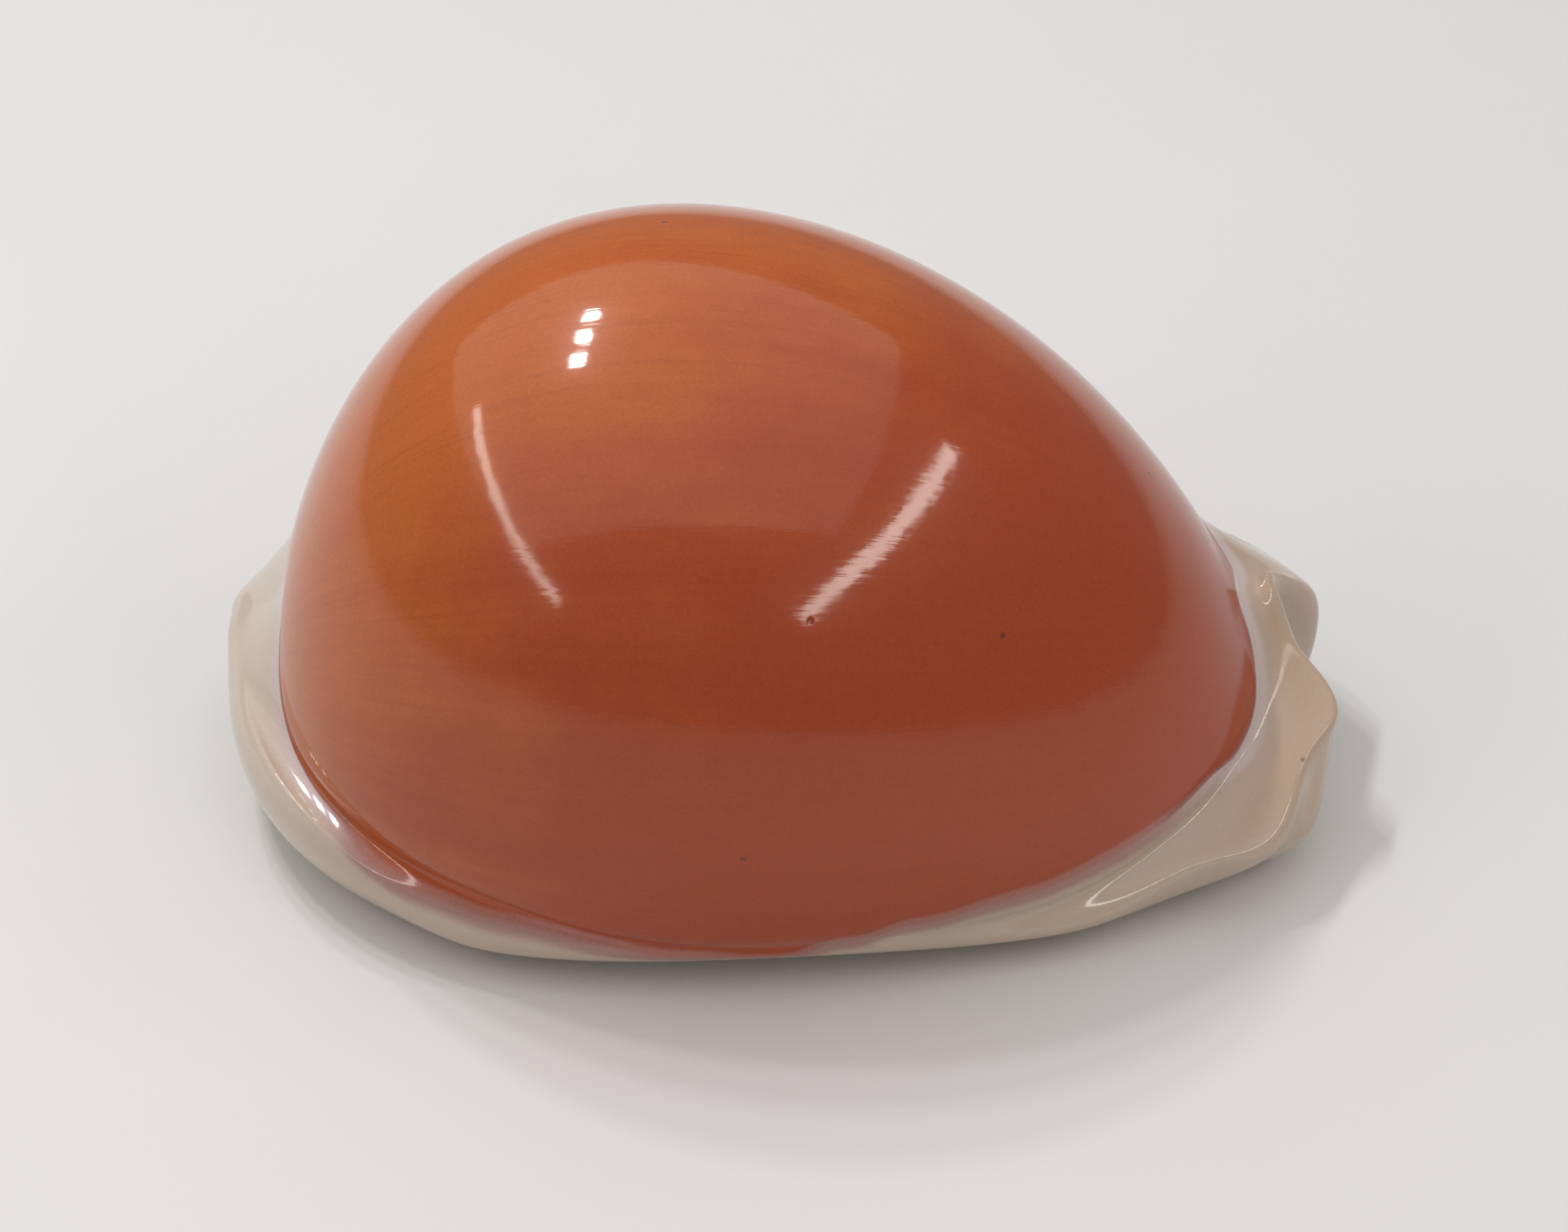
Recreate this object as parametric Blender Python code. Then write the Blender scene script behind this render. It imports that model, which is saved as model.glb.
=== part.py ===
"""A large glossy cowrie shell, grown in one piece, as one closed solid.

The shell is lofted like a boat: closed rings run from the top of the dome down its sides, round the
thickened margin, under the base, over the two toothed lips of the slit and on through the hollow to the
roof inside. A smooth curve joins the rings in each column. +X is the front (the narrower end), -Y the
side of the outer lip, +Z up, and the shell rests on z = 0. The loft is drawn in millimetres for a shell
95 mm long, and the finished solid is brought to the driving dimensions.
"""
from collections import namedtuple

import bmesh
import bpy
import numpy as np

# Driving dimensions, in metres.
LENGTH = 0.0950
WIDTH = 0.0645
HEIGHT = 0.0522

# Teeth of the slit, counted along each lip. Smooth stretches at both ends are as long as so many teeth.
OUTER_TEETH = 28
INNER_TEETH = 26
SMOOTH_UNITS = 5
TOOTH_HEIGHT = 0.40
COLUMNS_PER_TOOTH = 4

# The dome, in millimetres: a ball stretched to these half sizes round its own middle.
DOME_MIDDLE = 0.62
DOME_HALF_LENGTH = 43.58
DOME_HALF_WIDTH = 31.9
DOME_RISE = 35.95
DOME_WAIST_HEIGHT = 15.2
FRONT_WAIST_DROP = 5.8
ENDS_WAIST_DROP = 12.1
FRONT_NARROWING = 0.117
FRONT_FALL = 0.134
END_FULLNESS = 0.187
DOME_STEPS = 8
FOOT_CLEARANCE = 0.6
CREASE_INSET = 0.978

# The roof of the hollow is the same ball, smaller, with wider steps between its rings.
VAULT_SIZE = (0.915, 0.935, 0.957)
VAULT_STEPS = 5
VAULT_STEP = np.radians(15.0)

# The slit, in millimetres: its middle line wanders off centre, and it widens to the front.
SLIT_OFFSET = -2.0
SLIT_FRONT_SHIFT = 5.5
SLIT_BACK_SHIFT = 10.0
SLIT_HALF_GAP = 2.55
SLIT_FRONT_WIDENING = 0.7
SLIT_END_ROUNDNESS = 0.30

# Where the heights of the rings begin to change towards the front and the back, along from the middle,
# and how far round an end one side goes over into the other.
MARGIN_CHANGE = (0.42, 0.50)
LIP_CHANGE = (0.30, 0.50)
HOLLOW_CHANGE = (0.20, 0.20)
SIDE_CHANGE = 0.25
END_TURN = 0.10

# The canals at both ends, and the lobes beside the front one: where they lie and how far they reach, as
# shares of the way along a side from the front to the back.
FRONT_CANAL_REACH = 0.050
BACK_CANAL_REACH = 0.034
LOBE_PLACE = 0.147
LOBE_REACH = 0.038
OUTER_LOBE_SWELL = 0.046
INNER_LOBE_SWELL = 0.009
SKIRT_REACH = 0.11
SKIRT_OUTSET = 0.045
BACK_SWELL_PLACE = 0.89
BACK_SWELL_REACH = 0.125
BACK_SWELL = 0.067
SHOULDER_PLACE = 0.225
SHOULDER_REACH = 0.073
SHOULDER_RISE = 2.5

# Over both canals the crease and the gutter run on as saddles, which reach farther on the inner side.
FRONT_SADDLE_REACH = (0.052, 0.105)
BACK_SADDLE_REACH = (0.045, 0.100)

# Where the crease and the gutter climb up the dome, in millimetres, and how much of that there is on the
# side of the outer lip: beside the front canal, over the buried spire at the back, and along the flank.
Climb = namedtuple("Climb", "share reach crease gutter outer")
CLIMBS = (
    Climb(0.12, 0.060, 6.0, 1.8, 0.0),
    Climb(0.91, 0.075, 9.0, 3.0, 0.0),
    Climb(0.70, 0.075, 2.3, 1.2, 1.0),
)

# How much fuller than an ellipse the margin's outline is, half way from its middle to its ends.
MARGIN_FULLNESS = 0.106

# Rings are drawn in millimetres. even: how evenly its stations are spaced, 0 as on the dome, 1 as the
# teeth. front, back: how far it reaches. outer, inner: half widths on the side of the outer lip and on
# the inner side. z_...: heights. x_canals, z_canals: its places and heights in the middles of the front
# and the back canal. swell, follow: how much it shares in the lobes and in the wandering of the slit.
Crease = namedtuple("Crease", "z_outer z_inner z_front_outer z_front_inner z_back z_canals")
Margin = namedtuple(
    "Margin", "even front back outer inner x_canals swell follow " + " ".join(Crease._fields)
)
CREASE = Crease(6.2, 7.6, 9.4, 11.3, 10.8, (15.0, 20.0))
GUTTER = Margin(
    0.00, 44.0, -44.4, 30.7, 30.9, (41.2, -44.6), 0.5, 0.6, 5.0, 6.4, 9.3, 12.0, 10.6, (17.4, 13.0),
)
CREST = Margin(
    0.05, 48.4, -43.9, 29.2, 30.3, (41.7, -46.4), 1.0, 1.0, 3.8, 5.2, 11.7, 12.6, 11.6, (18.6, 12.4),
)
EDGE = Margin(
    0.10, 49.7, -45.7, 28.1, 29.4, (42.9, -47.9), 1.0, 1.0, 2.8, 4.0, 10.0, 9.0, 9.6, (17.3, 10.6),
)
UNDER = Margin(
    0.25, 50.0, -45.4, 26.5, 28.0, (42.6, -47.2), 1.0, 1.0, 1.9, 2.6, 4.2, 4.6, 4.8, (15.4, 8.0),
)
HEEL = Margin(
    0.45, 48.0, -43.0, 24.1, 25.4, (41.8, -45.4), 1.0, 1.0, 0.8, 1.1, 0.9, 1.2, 1.3, (13.8, 6.6),
)
SOLE = Margin(
    0.70, 46.2, -41.0, 16.8, 18.5, (40.6, -43.6), 1.0, 1.0, -0.5, -0.5, 0.3, 0.4, 0.4, (12.8, 6.0),
)
MARGINS = (GUTTER, CREST, EDGE, UNDER, HEEL, SOLE)

# Forms of the margin at its ends: on which side, where and how far along it, and how far the gutter, the
# crest, the edge, the ring under it and the heel go outwards and upwards there, in millimetres.
Form = namedtuple("Form", "side share reach outwards upwards")
FORMS = (
    Form(-1.0, 0.042, 0.020, (0.0, -1.1, -1.1, 0.0, 0.0), (0.0, -0.2, -0.3, 0.0, 0.0)),
    Form(-1.0, 0.086, 0.028, (0.0, 1.9, 0.0, 0.0, 0.0), (0.8, -0.7, -0.4, 0.0, 0.0)),
    Form(-1.0, 0.146, 0.034, (0.5, -1.0, -2.3, 0.6, 0.2), (0.3, -1.2, -2.0, 0.0, 0.0)),
    Form(-1.0, 0.200, 0.040, (1.4, 2.4, 2.5, 0.5, 0.0), (-0.7, -2.0, -2.2, -0.3, 0.0)),
    Form(1.0, 0.070, 0.032, (0.0, 0.4, 0.3, -0.1, 1.5), (0.0, 0.0, 0.0, -1.0, -0.6)),
    Form(1.0, 0.890, 0.050, (-1.0, -0.8, -0.8, -0.3, 0.0), (0.0, -0.3, -0.3, 0.0, 0.0)),
)

# away: distance from the edge of the slit at its middle, less towards its ends.
Lip = namedtuple("Lip", "even front back away z_side z_front z_back x_canals z_canals")
INSTEP = Lip(0.90, 44.6, -41.4, 7.0, 0.1, 0.4, 0.6, (39.4, -42.0), (12.1, 5.7))
VERGE = Lip(1.00, 44.4, -41.2, 3.2, 0.5, 0.8, 1.0, (38.2, -40.6), (11.7, 5.6))
BROW = Lip(1.00, 44.0, -41.0, 0.9, 1.5, 1.8, 2.0, (37.0, -39.2), (11.6, 5.7))
THROAT = Lip(1.00, 43.4, -40.8, 0.1, 3.6, 3.8, 3.8, (35.8, -37.8), (11.8, 6.2))
BRINK = Lip(1.00, 42.4, -40.2, 0.3, 6.0, 6.2, 5.8, (34.4, -36.4), (12.4, 7.2))
LIPS = (INSTEP, VERGE, BROW, THROAT, BRINK)

# The floor of the hollow climbs on the inner side, over the rolled pillar of the earlier whorls.
Hollow = namedtuple("Hollow", "even front back outer inner z_outer z_inner z_front z_back")
HOLLOWS = (
    Hollow(0.90, 33.6, -35.6, 7.0, 8.0, 8.0, 10.5, 13.0, 8.8),
    Hollow(0.60, 33.2, -36.0, 16.0, 16.0, 7.8, 14.0, 14.2, 9.9),
    Hollow(0.30, 35.0, -38.0, 25.6, 24.6, 9.5, 13.0, 12.4, 11.0),
    Hollow(0.10, 36.4, -39.0, 29.4, 29.2, 14.5, 16.0, 13.6, 14.0),
)


def ramp(t):
    """Rise from 0 to 1 with no kink at either end."""
    t = np.clip(t, 0.0, 1.0)
    return t ** 3 * (t * (6.0 * t - 15.0) + 10.0)


def even_stations(share):
    """Share of the way along the slit for a share of the way round: even but for the round ends."""
    turn = END_TURN
    arc = 2.0 * turn / np.pi
    start = arc * (1.0 - np.cos(0.5 * np.pi * np.clip(share / turn, 0.0, 1.0)))
    middle = np.clip(share, turn, 1.0 - turn) - turn
    end = arc * np.cos(0.5 * np.pi * np.clip((1.0 - share) / turn, 0.0, 1.0))
    return (start + middle + end) / (2.0 * arc + 1.0 - 2.0 * turn)


def half_width(along):
    """Half width of a round outline of radius 1, at a place along it from -1 to 1."""
    return np.sqrt(np.clip(1.0 - along ** 2, 0.0, None))


def slit_line(along):
    """Sideways place of the middle of the slit."""
    front = SLIT_FRONT_SHIFT * np.clip(along, 0.0, 1.0) ** 3
    back = SLIT_BACK_SHIFT * np.clip(-along, 0.0, 1.0) ** 3
    return SLIT_OFFSET + front + back


def towards_ends(along, side, front, back, change):
    """A value along the sides that changes smoothly to other values at the two ends."""
    to_front = ramp((along - change[0]) / (1.0 - change[0]))
    to_back = ramp((-along - change[1]) / (1.0 - change[1]))
    return side + (front - side) * to_front + (back - side) * to_back


class Columns:
    """What every ring needs to know about the columns that it is drawn in."""

    def __init__(self, angle):
        self.angle = angle
        self.share = np.where(angle <= np.pi, angle / np.pi, 2.0 - angle / np.pi)
        self.hand = np.where(np.sin(angle) >= 0.0, 1.0, -1.0)
        self.inner = 0.5 + 0.5 * np.tanh(np.sin(angle) / SIDE_CHANGE)
        self.front_canal = np.exp(-(self.share / FRONT_CANAL_REACH) ** 2)
        self.back_canal = np.exp(-((1.0 - self.share) / BACK_CANAL_REACH) ** 2)
        lobe = np.exp(-((self.share - LOBE_PLACE) / LOBE_REACH) ** 2)
        back = np.exp(-((self.share - BACK_SWELL_PLACE) / BACK_SWELL_REACH) ** 2)
        self.swell = self.sides(OUTER_LOBE_SWELL, INNER_LOBE_SWELL) * lobe + BACK_SWELL * back
        shoulder = np.exp(-((self.share - SHOULDER_PLACE) / SHOULDER_REACH) ** 2)
        self.shoulder = SHOULDER_RISE * self.inner * shoulder
        self.skirt = np.exp(-(self.share / SKIRT_REACH) ** 2)
        front_saddle = np.exp(-(self.share / self.sides(*FRONT_SADDLE_REACH)) ** 2)
        back_saddle = np.exp(-((1.0 - self.share) / self.sides(*BACK_SADDLE_REACH)) ** 2)
        self.saddles = (front_saddle, back_saddle)
        outward = np.stack([np.cos(angle) * DOME_HALF_WIDTH, np.sin(angle) * DOME_HALF_LENGTH], axis=-1)
        self.outward = outward / np.linalg.norm(outward, axis=-1, keepdims=True)

    def along(self, even):
        """Place along the shell from -1 to 1, spaced as on the dome or as evenly as the teeth."""
        return (1.0 - even) * np.cos(self.angle) + even * (1.0 - 2.0 * even_stations(self.share))

    def across(self, along, outer, inner):
        """Sideways place on a ring with these half widths, narrower to the front."""
        return self.hand * half_width(along) * self.sides(outer, inner) * (1.0 - FRONT_NARROWING * along)

    def sides(self, outer, inner):
        """One value on the side of the outer lip and another on the inner side."""
        return outer + (inner - outer) * self.inner

    def into_canals(self, value, places, pulls=None):
        """Pull a ring's places or heights to the ones in the middles of the two canals."""
        for place, pull in zip(places, pulls or (self.front_canal, self.back_canal)):
            value = value + (place - value[pull.argmax()]) * pull
        return value


def ball_waist(along):
    """Height of the middle of the ball's cross section, at a place along it."""
    return DOME_WAIST_HEIGHT - FRONT_WAIST_DROP * along - ENDS_WAIST_DROP * along ** 2


def ball_rise(along):
    """How far the ball rises above its waist."""
    return DOME_RISE * (1.0 - FRONT_FALL * along + END_FULLNESS * along ** 2)


def ball(polar, columns, size=(1.0, 1.0, 1.0)):
    """Ring of the ball, polar being the angle from its top."""
    along = np.sin(polar) * np.cos(columns.angle)
    across = np.sin(polar) * np.sin(columns.angle)
    x = DOME_MIDDLE + size[0] * DOME_HALF_LENGTH * along
    y = size[1] * DOME_HALF_WIDTH * across * (1.0 - FRONT_NARROWING * along)
    z = ball_waist(along) + size[2] * ball_rise(along) * np.cos(polar)
    return np.stack([x, y, z], axis=-1)


def heights(ring, columns, along):
    """Heights of the crease or of a ring of the margin."""
    z_side = columns.sides(ring.z_outer, ring.z_inner)
    z_front = columns.sides(ring.z_front_outer, ring.z_front_inner)
    z = towards_ends(along, z_side, z_front, ring.z_back, MARGIN_CHANGE)
    if ring not in (CREASE, GUTTER):
        return columns.into_canals(z, ring.z_canals)
    for climb in CLIMBS:
        near = np.exp(-((columns.share - climb.share) / climb.reach) ** 2)
        rise = climb.crease if ring is CREASE else climb.gutter
        z = z + rise * near * columns.sides(climb.outer, 1.0)
    return columns.into_canals(z, ring.z_canals, columns.saddles)


def dome_foot(columns):
    """Angle from the top at which the ball comes down to the crease."""
    along = np.cos(columns.angle)
    height = heights(CREASE, columns, along) + FOOT_CLEARANCE
    return np.arccos((height - ball_waist(along)) / ball_rise(along))


def crease_ring(columns):
    """The crease follows the foot of the dome, drawn in a little."""
    ring = ball(dome_foot(columns), columns)
    inset = CREASE_INSET + SKIRT_OUTSET * columns.skirt
    ring[:, 0] = DOME_MIDDLE + inset * (ring[:, 0] - DOME_MIDDLE)
    ring[:, 1] = inset * ring[:, 1]
    ring[:, 2] = ring[:, 2] - FOOT_CLEARANCE
    return ring


def margin_ring(ring, columns):
    along = columns.along(ring.even)
    swell = 1.0 + ring.swell * columns.swell
    x = 0.5 * (ring.front + ring.back) + 0.5 * (ring.front - ring.back) * along * swell
    fullness = 1.0 + ring.swell * MARGIN_FULLNESS * 4.0 * along ** 2 * (1.0 - along ** 2)
    y = columns.across(along, ring.outer, ring.inner) * swell * fullness
    y = y + ring.follow * slit_line(along) * along ** 8
    z = heights(ring, columns, along) + ring.swell * columns.shoulder
    return add_forms(ring, columns, np.stack([columns.into_canals(x, ring.x_canals), y, z], axis=-1))


def add_forms(ring, columns, points):
    """Move a ring of the margin outwards and upwards where the forms at the ends are."""
    number = MARGINS.index(ring)
    for form in FORMS:
        if number < len(form.outwards):
            near = np.exp(-((columns.share - form.share) / form.reach) ** 2) * (columns.hand == form.side)
            points[:, :2] += form.outwards[number] * near[:, None] * columns.outward
            points[:, 2] += form.upwards[number] * near
    return points


def lip_ring(ring, columns):
    along = columns.along(ring.even)
    x = 0.5 * (ring.front + ring.back) + 0.5 * (ring.front - ring.back) * along
    gap = SLIT_HALF_GAP + SLIT_FRONT_WIDENING * ramp(along) + ring.away * half_width(along)
    rounding = np.tanh(half_width(along) / SLIT_END_ROUNDNESS) / np.tanh(1.0 / SLIT_END_ROUNDNESS)
    y = slit_line(along) + columns.hand * gap * rounding
    z = towards_ends(along, ring.z_side, ring.z_front, ring.z_back, LIP_CHANGE)
    z = columns.into_canals(z, ring.z_canals)
    return np.stack([columns.into_canals(x, ring.x_canals), y, z], axis=-1)


def hollow_ring(ring, columns):
    along = columns.along(ring.even)
    x = 0.5 * (ring.front + ring.back) + 0.5 * (ring.front - ring.back) * along
    y = columns.across(along, ring.outer, ring.inner) + slit_line(along) * along ** 4
    z_side = columns.sides(ring.z_outer, ring.z_inner)
    z = towards_ends(along, z_side, ring.z_front, ring.z_back, HOLLOW_CHANGE)
    return np.stack([x, y, z], axis=-1)


def guide_rings(columns):
    """All rings, from one step beyond the top of the dome to one step beyond the roof of the hollow."""
    step = dome_foot(columns) / DOME_STEPS
    keep_size = 6.0 / (4.0 + 2.0 * np.cos(step))
    rings = [ball(step * i, columns, (keep_size,) * 3) for i in range(-1, DOME_STEPS + 1)]
    rings += [crease_ring(columns)]
    rings += [margin_ring(ring, columns) for ring in MARGINS]
    rings += [lip_ring(ring, columns) for ring in LIPS]
    rings += [hollow_ring(ring, columns) for ring in HOLLOWS]
    rings += [ball(VAULT_STEP * i, columns, VAULT_SIZE) for i in range(VAULT_STEPS, -2, -1)]
    return np.array(rings)


def on_curve(rings, place):
    """Point of the smooth curve that follows the rings of each column, at a place counted in rings."""
    first = min(int(place), len(rings) - 4)
    t = place - first
    weights = (
        (1.0 - t) ** 3 / 6.0,
        (3.0 * t ** 3 - 6.0 * t ** 2 + 4.0) / 6.0,
        (1.0 + 3.0 * t + 3.0 * t ** 2 - 3.0 * t ** 3) / 6.0,
        t ** 3 / 6.0,
    )
    return sum(weight * ring for weight, ring in zip(weights, rings[first:first + 4]))


def shell_row(rings, place, columns):
    """One row of the shell: exactly the ball near both poles, and the smooth curve between them."""
    row = on_curve(rings, place)
    roof = len(rings) - 3
    outside = 1.0 - ramp((place - 3.5) / 3.5)
    inside = 1.0 - ramp((roof - place - 1.0) / 2.5)
    if outside > 0.0:
        row = row + outside * (ball(dome_foot(columns) * place / DOME_STEPS, columns) - row)
    if inside > 0.0:
        row = row + inside * (ball(VAULT_STEP * (roof - place), columns, VAULT_SIZE) - row)
    return row


# Rows of the solid, by place along the guide rings: few columns over the dome and the roof, more at the
# canals of the margin, and the most across the teeth.
DOME_ROWS = (0.5, 1.0, 1.5, 2.1, 2.7, 3.3, 3.9, 4.5, 5.1, 5.7, 6.3)
MARGIN_ROWS = (6.9, 7.5, 8.1, 8.7, 9.1, 9.6, 10.1, 10.6, 11.1, 11.7, 12.4, 13.1, 13.9, 14.8, 15.3, 15.8)
TOOTH_ROWS = (16.5, 17.1, 17.9, 18.8, 19.7)
THROAT_ROWS = (20.4, 21.2, 22.1, 23.1)
ROOF_ROWS = (24.2, 25.3, 26.4, 27.5, 28.5, 29.3)
TEETH_START = 16.1
TEETH_END = 20.3
TEETH_RISE = 0.9

UNITS = OUTER_TEETH + INNER_TEETH + 2 * SMOOTH_UNITS
INNER_UNITS = INNER_TEETH + SMOOTH_UNITS
OUTER_UNITS = OUTER_TEETH + SMOOTH_UNITS
COLUMN_COUNT = UNITS * COLUMNS_PER_TOOTH


def column_angles():
    """Angle of every column round the shell, so that each tooth has the same number of them."""
    unit = np.arange(COLUMN_COUNT) / COLUMNS_PER_TOOTH
    inner = np.pi * unit / INNER_UNITS
    outer = np.pi * (1.0 + (unit - INNER_UNITS) / OUTER_UNITS)
    return np.where(unit <= INNER_UNITS, inner, outer)


def tooth_relief(place):
    """How far each column of a row stands out, in millimetres: ridges between grooves along both lips."""
    unit = (np.arange(COLUMN_COUNT) + 0.5) / COLUMNS_PER_TOOTH
    unit = np.where(unit < INNER_UNITS, unit, unit - INNER_UNITS)
    last = np.where(np.arange(COLUMN_COUNT) < INNER_UNITS * COLUMNS_PER_TOOTH, INNER_UNITS, OUTER_UNITS)
    from_end = np.minimum(unit, last - unit) - 0.5 * SMOOTH_UNITS
    ridge = np.where(np.abs(unit % 1.0 - 0.5) > 0.25, 1.0, -1.0)
    fade = ramp((place - TEETH_START) / TEETH_RISE) * ramp((TEETH_END - place) / TEETH_RISE)
    return TOOTH_HEIGHT * fade * ridge * ramp(from_end + 0.5)


def column_choices():
    """Which columns the sparse, the closer and the full rows use."""
    every = np.arange(COLUMN_COUNT)
    sparse = every[::COLUMNS_PER_TOOTH]
    half_canal = SMOOTH_UNITS * COLUMNS_PER_TOOTH // 2
    back = INNER_UNITS * COLUMNS_PER_TOOTH
    at_front = (every < half_canal) | (every > COLUMN_COUNT - half_canal)
    at_back = np.abs(every - back) < half_canal
    closer = every[at_front | at_back | (every % COLUMNS_PER_TOOTH == 0)]
    return sparse, closer, every


def add_row(solid, points, chosen):
    """Vertices of one row, by column."""
    return {int(column): solid.verts.new(points[column]) for column in chosen}


def bridge(solid, upper, lower):
    """Faces between two rows that may have different columns."""
    stops_above = sorted(upper) + [COLUMN_COUNT]
    stops_below = sorted(lower) + [COLUMN_COUNT]
    i = 0
    j = 0
    while i < len(upper) or j < len(lower):
        above = upper[stops_above[i] % COLUMN_COUNT]
        below = lower[stops_below[j] % COLUMN_COUNT]
        step_above = stops_above[i + 1] if i < len(upper) else 2 * COLUMN_COUNT
        step_below = stops_below[j + 1] if j < len(lower) else 2 * COLUMN_COUNT
        if step_above == step_below:
            next_below = lower[step_below % COLUMN_COUNT]
            solid.faces.new((above, below, next_below, upper[step_above % COLUMN_COUNT]))
            i += 1
            j += 1
        elif step_below < step_above:
            solid.faces.new((above, below, lower[step_below % COLUMN_COUNT]))
            j += 1
        else:
            solid.faces.new((above, below, upper[step_above % COLUMN_COUNT]))
            i += 1


def close_pole(solid, row, point, outward_down):
    """Fan of faces from a row to one point at a pole."""
    pole = solid.verts.new(point)
    columns = sorted(row)
    for here, there in zip(columns, columns[1:] + columns[:1]):
        corners = (pole, row[here], row[there])
        solid.faces.new(corners if outward_down else corners[::-1])


def build_solid():
    """The whole shell as one closed mesh, in millimetres."""
    columns = Columns(column_angles())
    rings = guide_rings(columns)
    sparse, closer, every = column_choices()
    plan = [(place, sparse) for place in DOME_ROWS]
    plan += [(place, closer) for place in MARGIN_ROWS]
    plan += [(place, every) for place in TOOTH_ROWS]
    plan += [(place, closer) for place in THROAT_ROWS]
    plan += [(place, sparse) for place in ROOF_ROWS]
    solid = bmesh.new()
    rows = [add_row(solid, shell_row(rings, place, columns), chosen) for place, chosen in plan]
    for upper, lower in zip(rows, rows[1:]):
        bridge(solid, upper, lower)
    roof = len(rings) - 3
    close_pole(solid, rows[0], shell_row(rings, 0.0, columns).mean(axis=0), True)
    close_pole(solid, rows[-1], shell_row(rings, roof, columns).mean(axis=0), False)
    raise_teeth(solid, [(place, row) for (place, _), row in zip(plan, rows) if place in TOOTH_ROWS])
    for vert in solid.verts:
        vert.co.z = max(vert.co.z, 0.0)
    return solid


def raise_teeth(solid, tooth_rows):
    """Push the rows of both lips out and in, into ridges and grooves."""
    solid.normal_update()
    for place, row in tooth_rows:
        relief = tooth_relief(place)
        for column, vert in row.items():
            vert.co += vert.normal * relief[column]


def bring_to_size(solid):
    """Bring the solid to the driving dimensions, centred over the origin and standing on z = 0."""
    points = np.array([vert.co for vert in solid.verts])
    low = points.min(axis=0)
    high = points.max(axis=0)
    scale = np.array([LENGTH, WIDTH, HEIGHT]) / (high - low)
    middle = 0.5 * (low + high)
    middle[2] = low[2]
    for vert, point in zip(solid.verts, (points - middle) * scale):
        vert.co = point


def shell_material():
    """Glazed orange of the dome, the largest surface of the shell."""
    material = bpy.data.materials.new("glazed_orange_shell")
    material.use_nodes = True
    shader = material.node_tree.nodes["Principled BSDF"]
    shader.inputs["Base Color"].default_value = (0.46, 0.105, 0.030, 1.0)
    shader.inputs["Roughness"].default_value = 0.10
    shader.inputs["Metallic"].default_value = 0.0
    return material


def main():
    for thing in list(bpy.data.objects):
        bpy.data.objects.remove(thing, do_unlink=True)
    solid = build_solid()
    bring_to_size(solid)
    mesh = bpy.data.meshes.new("cowrie_shell")
    solid.to_mesh(mesh)
    solid.free()
    mesh.materials.append(shell_material())
    mesh.shade_smooth()
    shell = bpy.data.objects.new("cowrie_shell", mesh)
    bpy.context.scene.collection.objects.link(shell)


main()
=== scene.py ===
"""A polished golden-orange cowrie shell, resting on a pale studio floor.

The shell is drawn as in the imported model, from closed rings that run from the top of the dome, round
the thickened margin, under the base, over the two toothed lips and through the hollow, but far finer.
+X is its front, the narrower end, -Y the side of the outer lip, +Z up. Rings are drawn in millimetres
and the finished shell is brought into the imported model's box, which is in metres.
"""
import math
from collections import namedtuple

import bpy
import numpy as np
from mathutils import Matrix, Vector


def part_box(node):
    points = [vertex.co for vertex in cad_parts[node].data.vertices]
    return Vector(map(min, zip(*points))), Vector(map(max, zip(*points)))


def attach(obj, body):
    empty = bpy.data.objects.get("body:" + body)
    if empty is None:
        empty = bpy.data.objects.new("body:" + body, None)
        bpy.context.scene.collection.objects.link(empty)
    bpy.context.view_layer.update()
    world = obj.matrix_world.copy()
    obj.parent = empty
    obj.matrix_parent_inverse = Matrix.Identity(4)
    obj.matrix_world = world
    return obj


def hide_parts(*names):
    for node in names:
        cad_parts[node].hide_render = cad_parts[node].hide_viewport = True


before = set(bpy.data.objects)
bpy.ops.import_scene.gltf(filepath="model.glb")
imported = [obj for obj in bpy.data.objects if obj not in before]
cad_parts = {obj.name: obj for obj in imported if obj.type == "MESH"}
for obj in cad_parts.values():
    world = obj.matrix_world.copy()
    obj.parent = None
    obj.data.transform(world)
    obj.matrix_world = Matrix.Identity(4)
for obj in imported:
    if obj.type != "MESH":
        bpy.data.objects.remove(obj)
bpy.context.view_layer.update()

SHELL_NODE = "cowrie_shell"
SHELL_LOW, SHELL_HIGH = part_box(SHELL_NODE)

# Teeth along each lip. The smooth stretches at both ends of the slit are as long as so many teeth.
OUTER_TEETH = 28
INNER_TEETH = 26
SMOOTH_UNITS = 5
UNITS = OUTER_TEETH + INNER_TEETH + 2 * SMOOTH_UNITS
INNER_UNITS = INNER_TEETH + SMOOTH_UNITS
OUTER_UNITS = OUTER_TEETH + SMOOTH_UNITS

# Columns of the mesh: along the lips, and half as many elsewhere.
COLUMNS_PER_TOOTH = 12
PLAIN_COLUMNS_PER_TOOTH = 6
COLUMN_COUNT = UNITS * COLUMNS_PER_TOOTH

# The dome, in millimetres: a ball stretched to these half sizes round its own middle.
DOME_MIDDLE = 0.62
DOME_HALF_LENGTH = 43.58
DOME_HALF_WIDTH = 31.9
DOME_RISE = 35.95
DOME_WAIST_HEIGHT = 15.2
FRONT_WAIST_DROP = 5.8
ENDS_WAIST_DROP = 12.1
FRONT_NARROWING = 0.117
FRONT_FALL = 0.134
END_FULLNESS = 0.187
DOME_STEPS = 8
CREASE_PLACE = DOME_STEPS + 1.0
FOOT_CLEARANCE = 0.6
CREASE_INSET = 0.978

# The roof of the hollow is the same ball, smaller, with wider steps between its rings.
VAULT_SIZE = (0.915, 0.935, 0.957)
VAULT_STEPS = 5
VAULT_STEP = np.radians(15.0)

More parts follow.
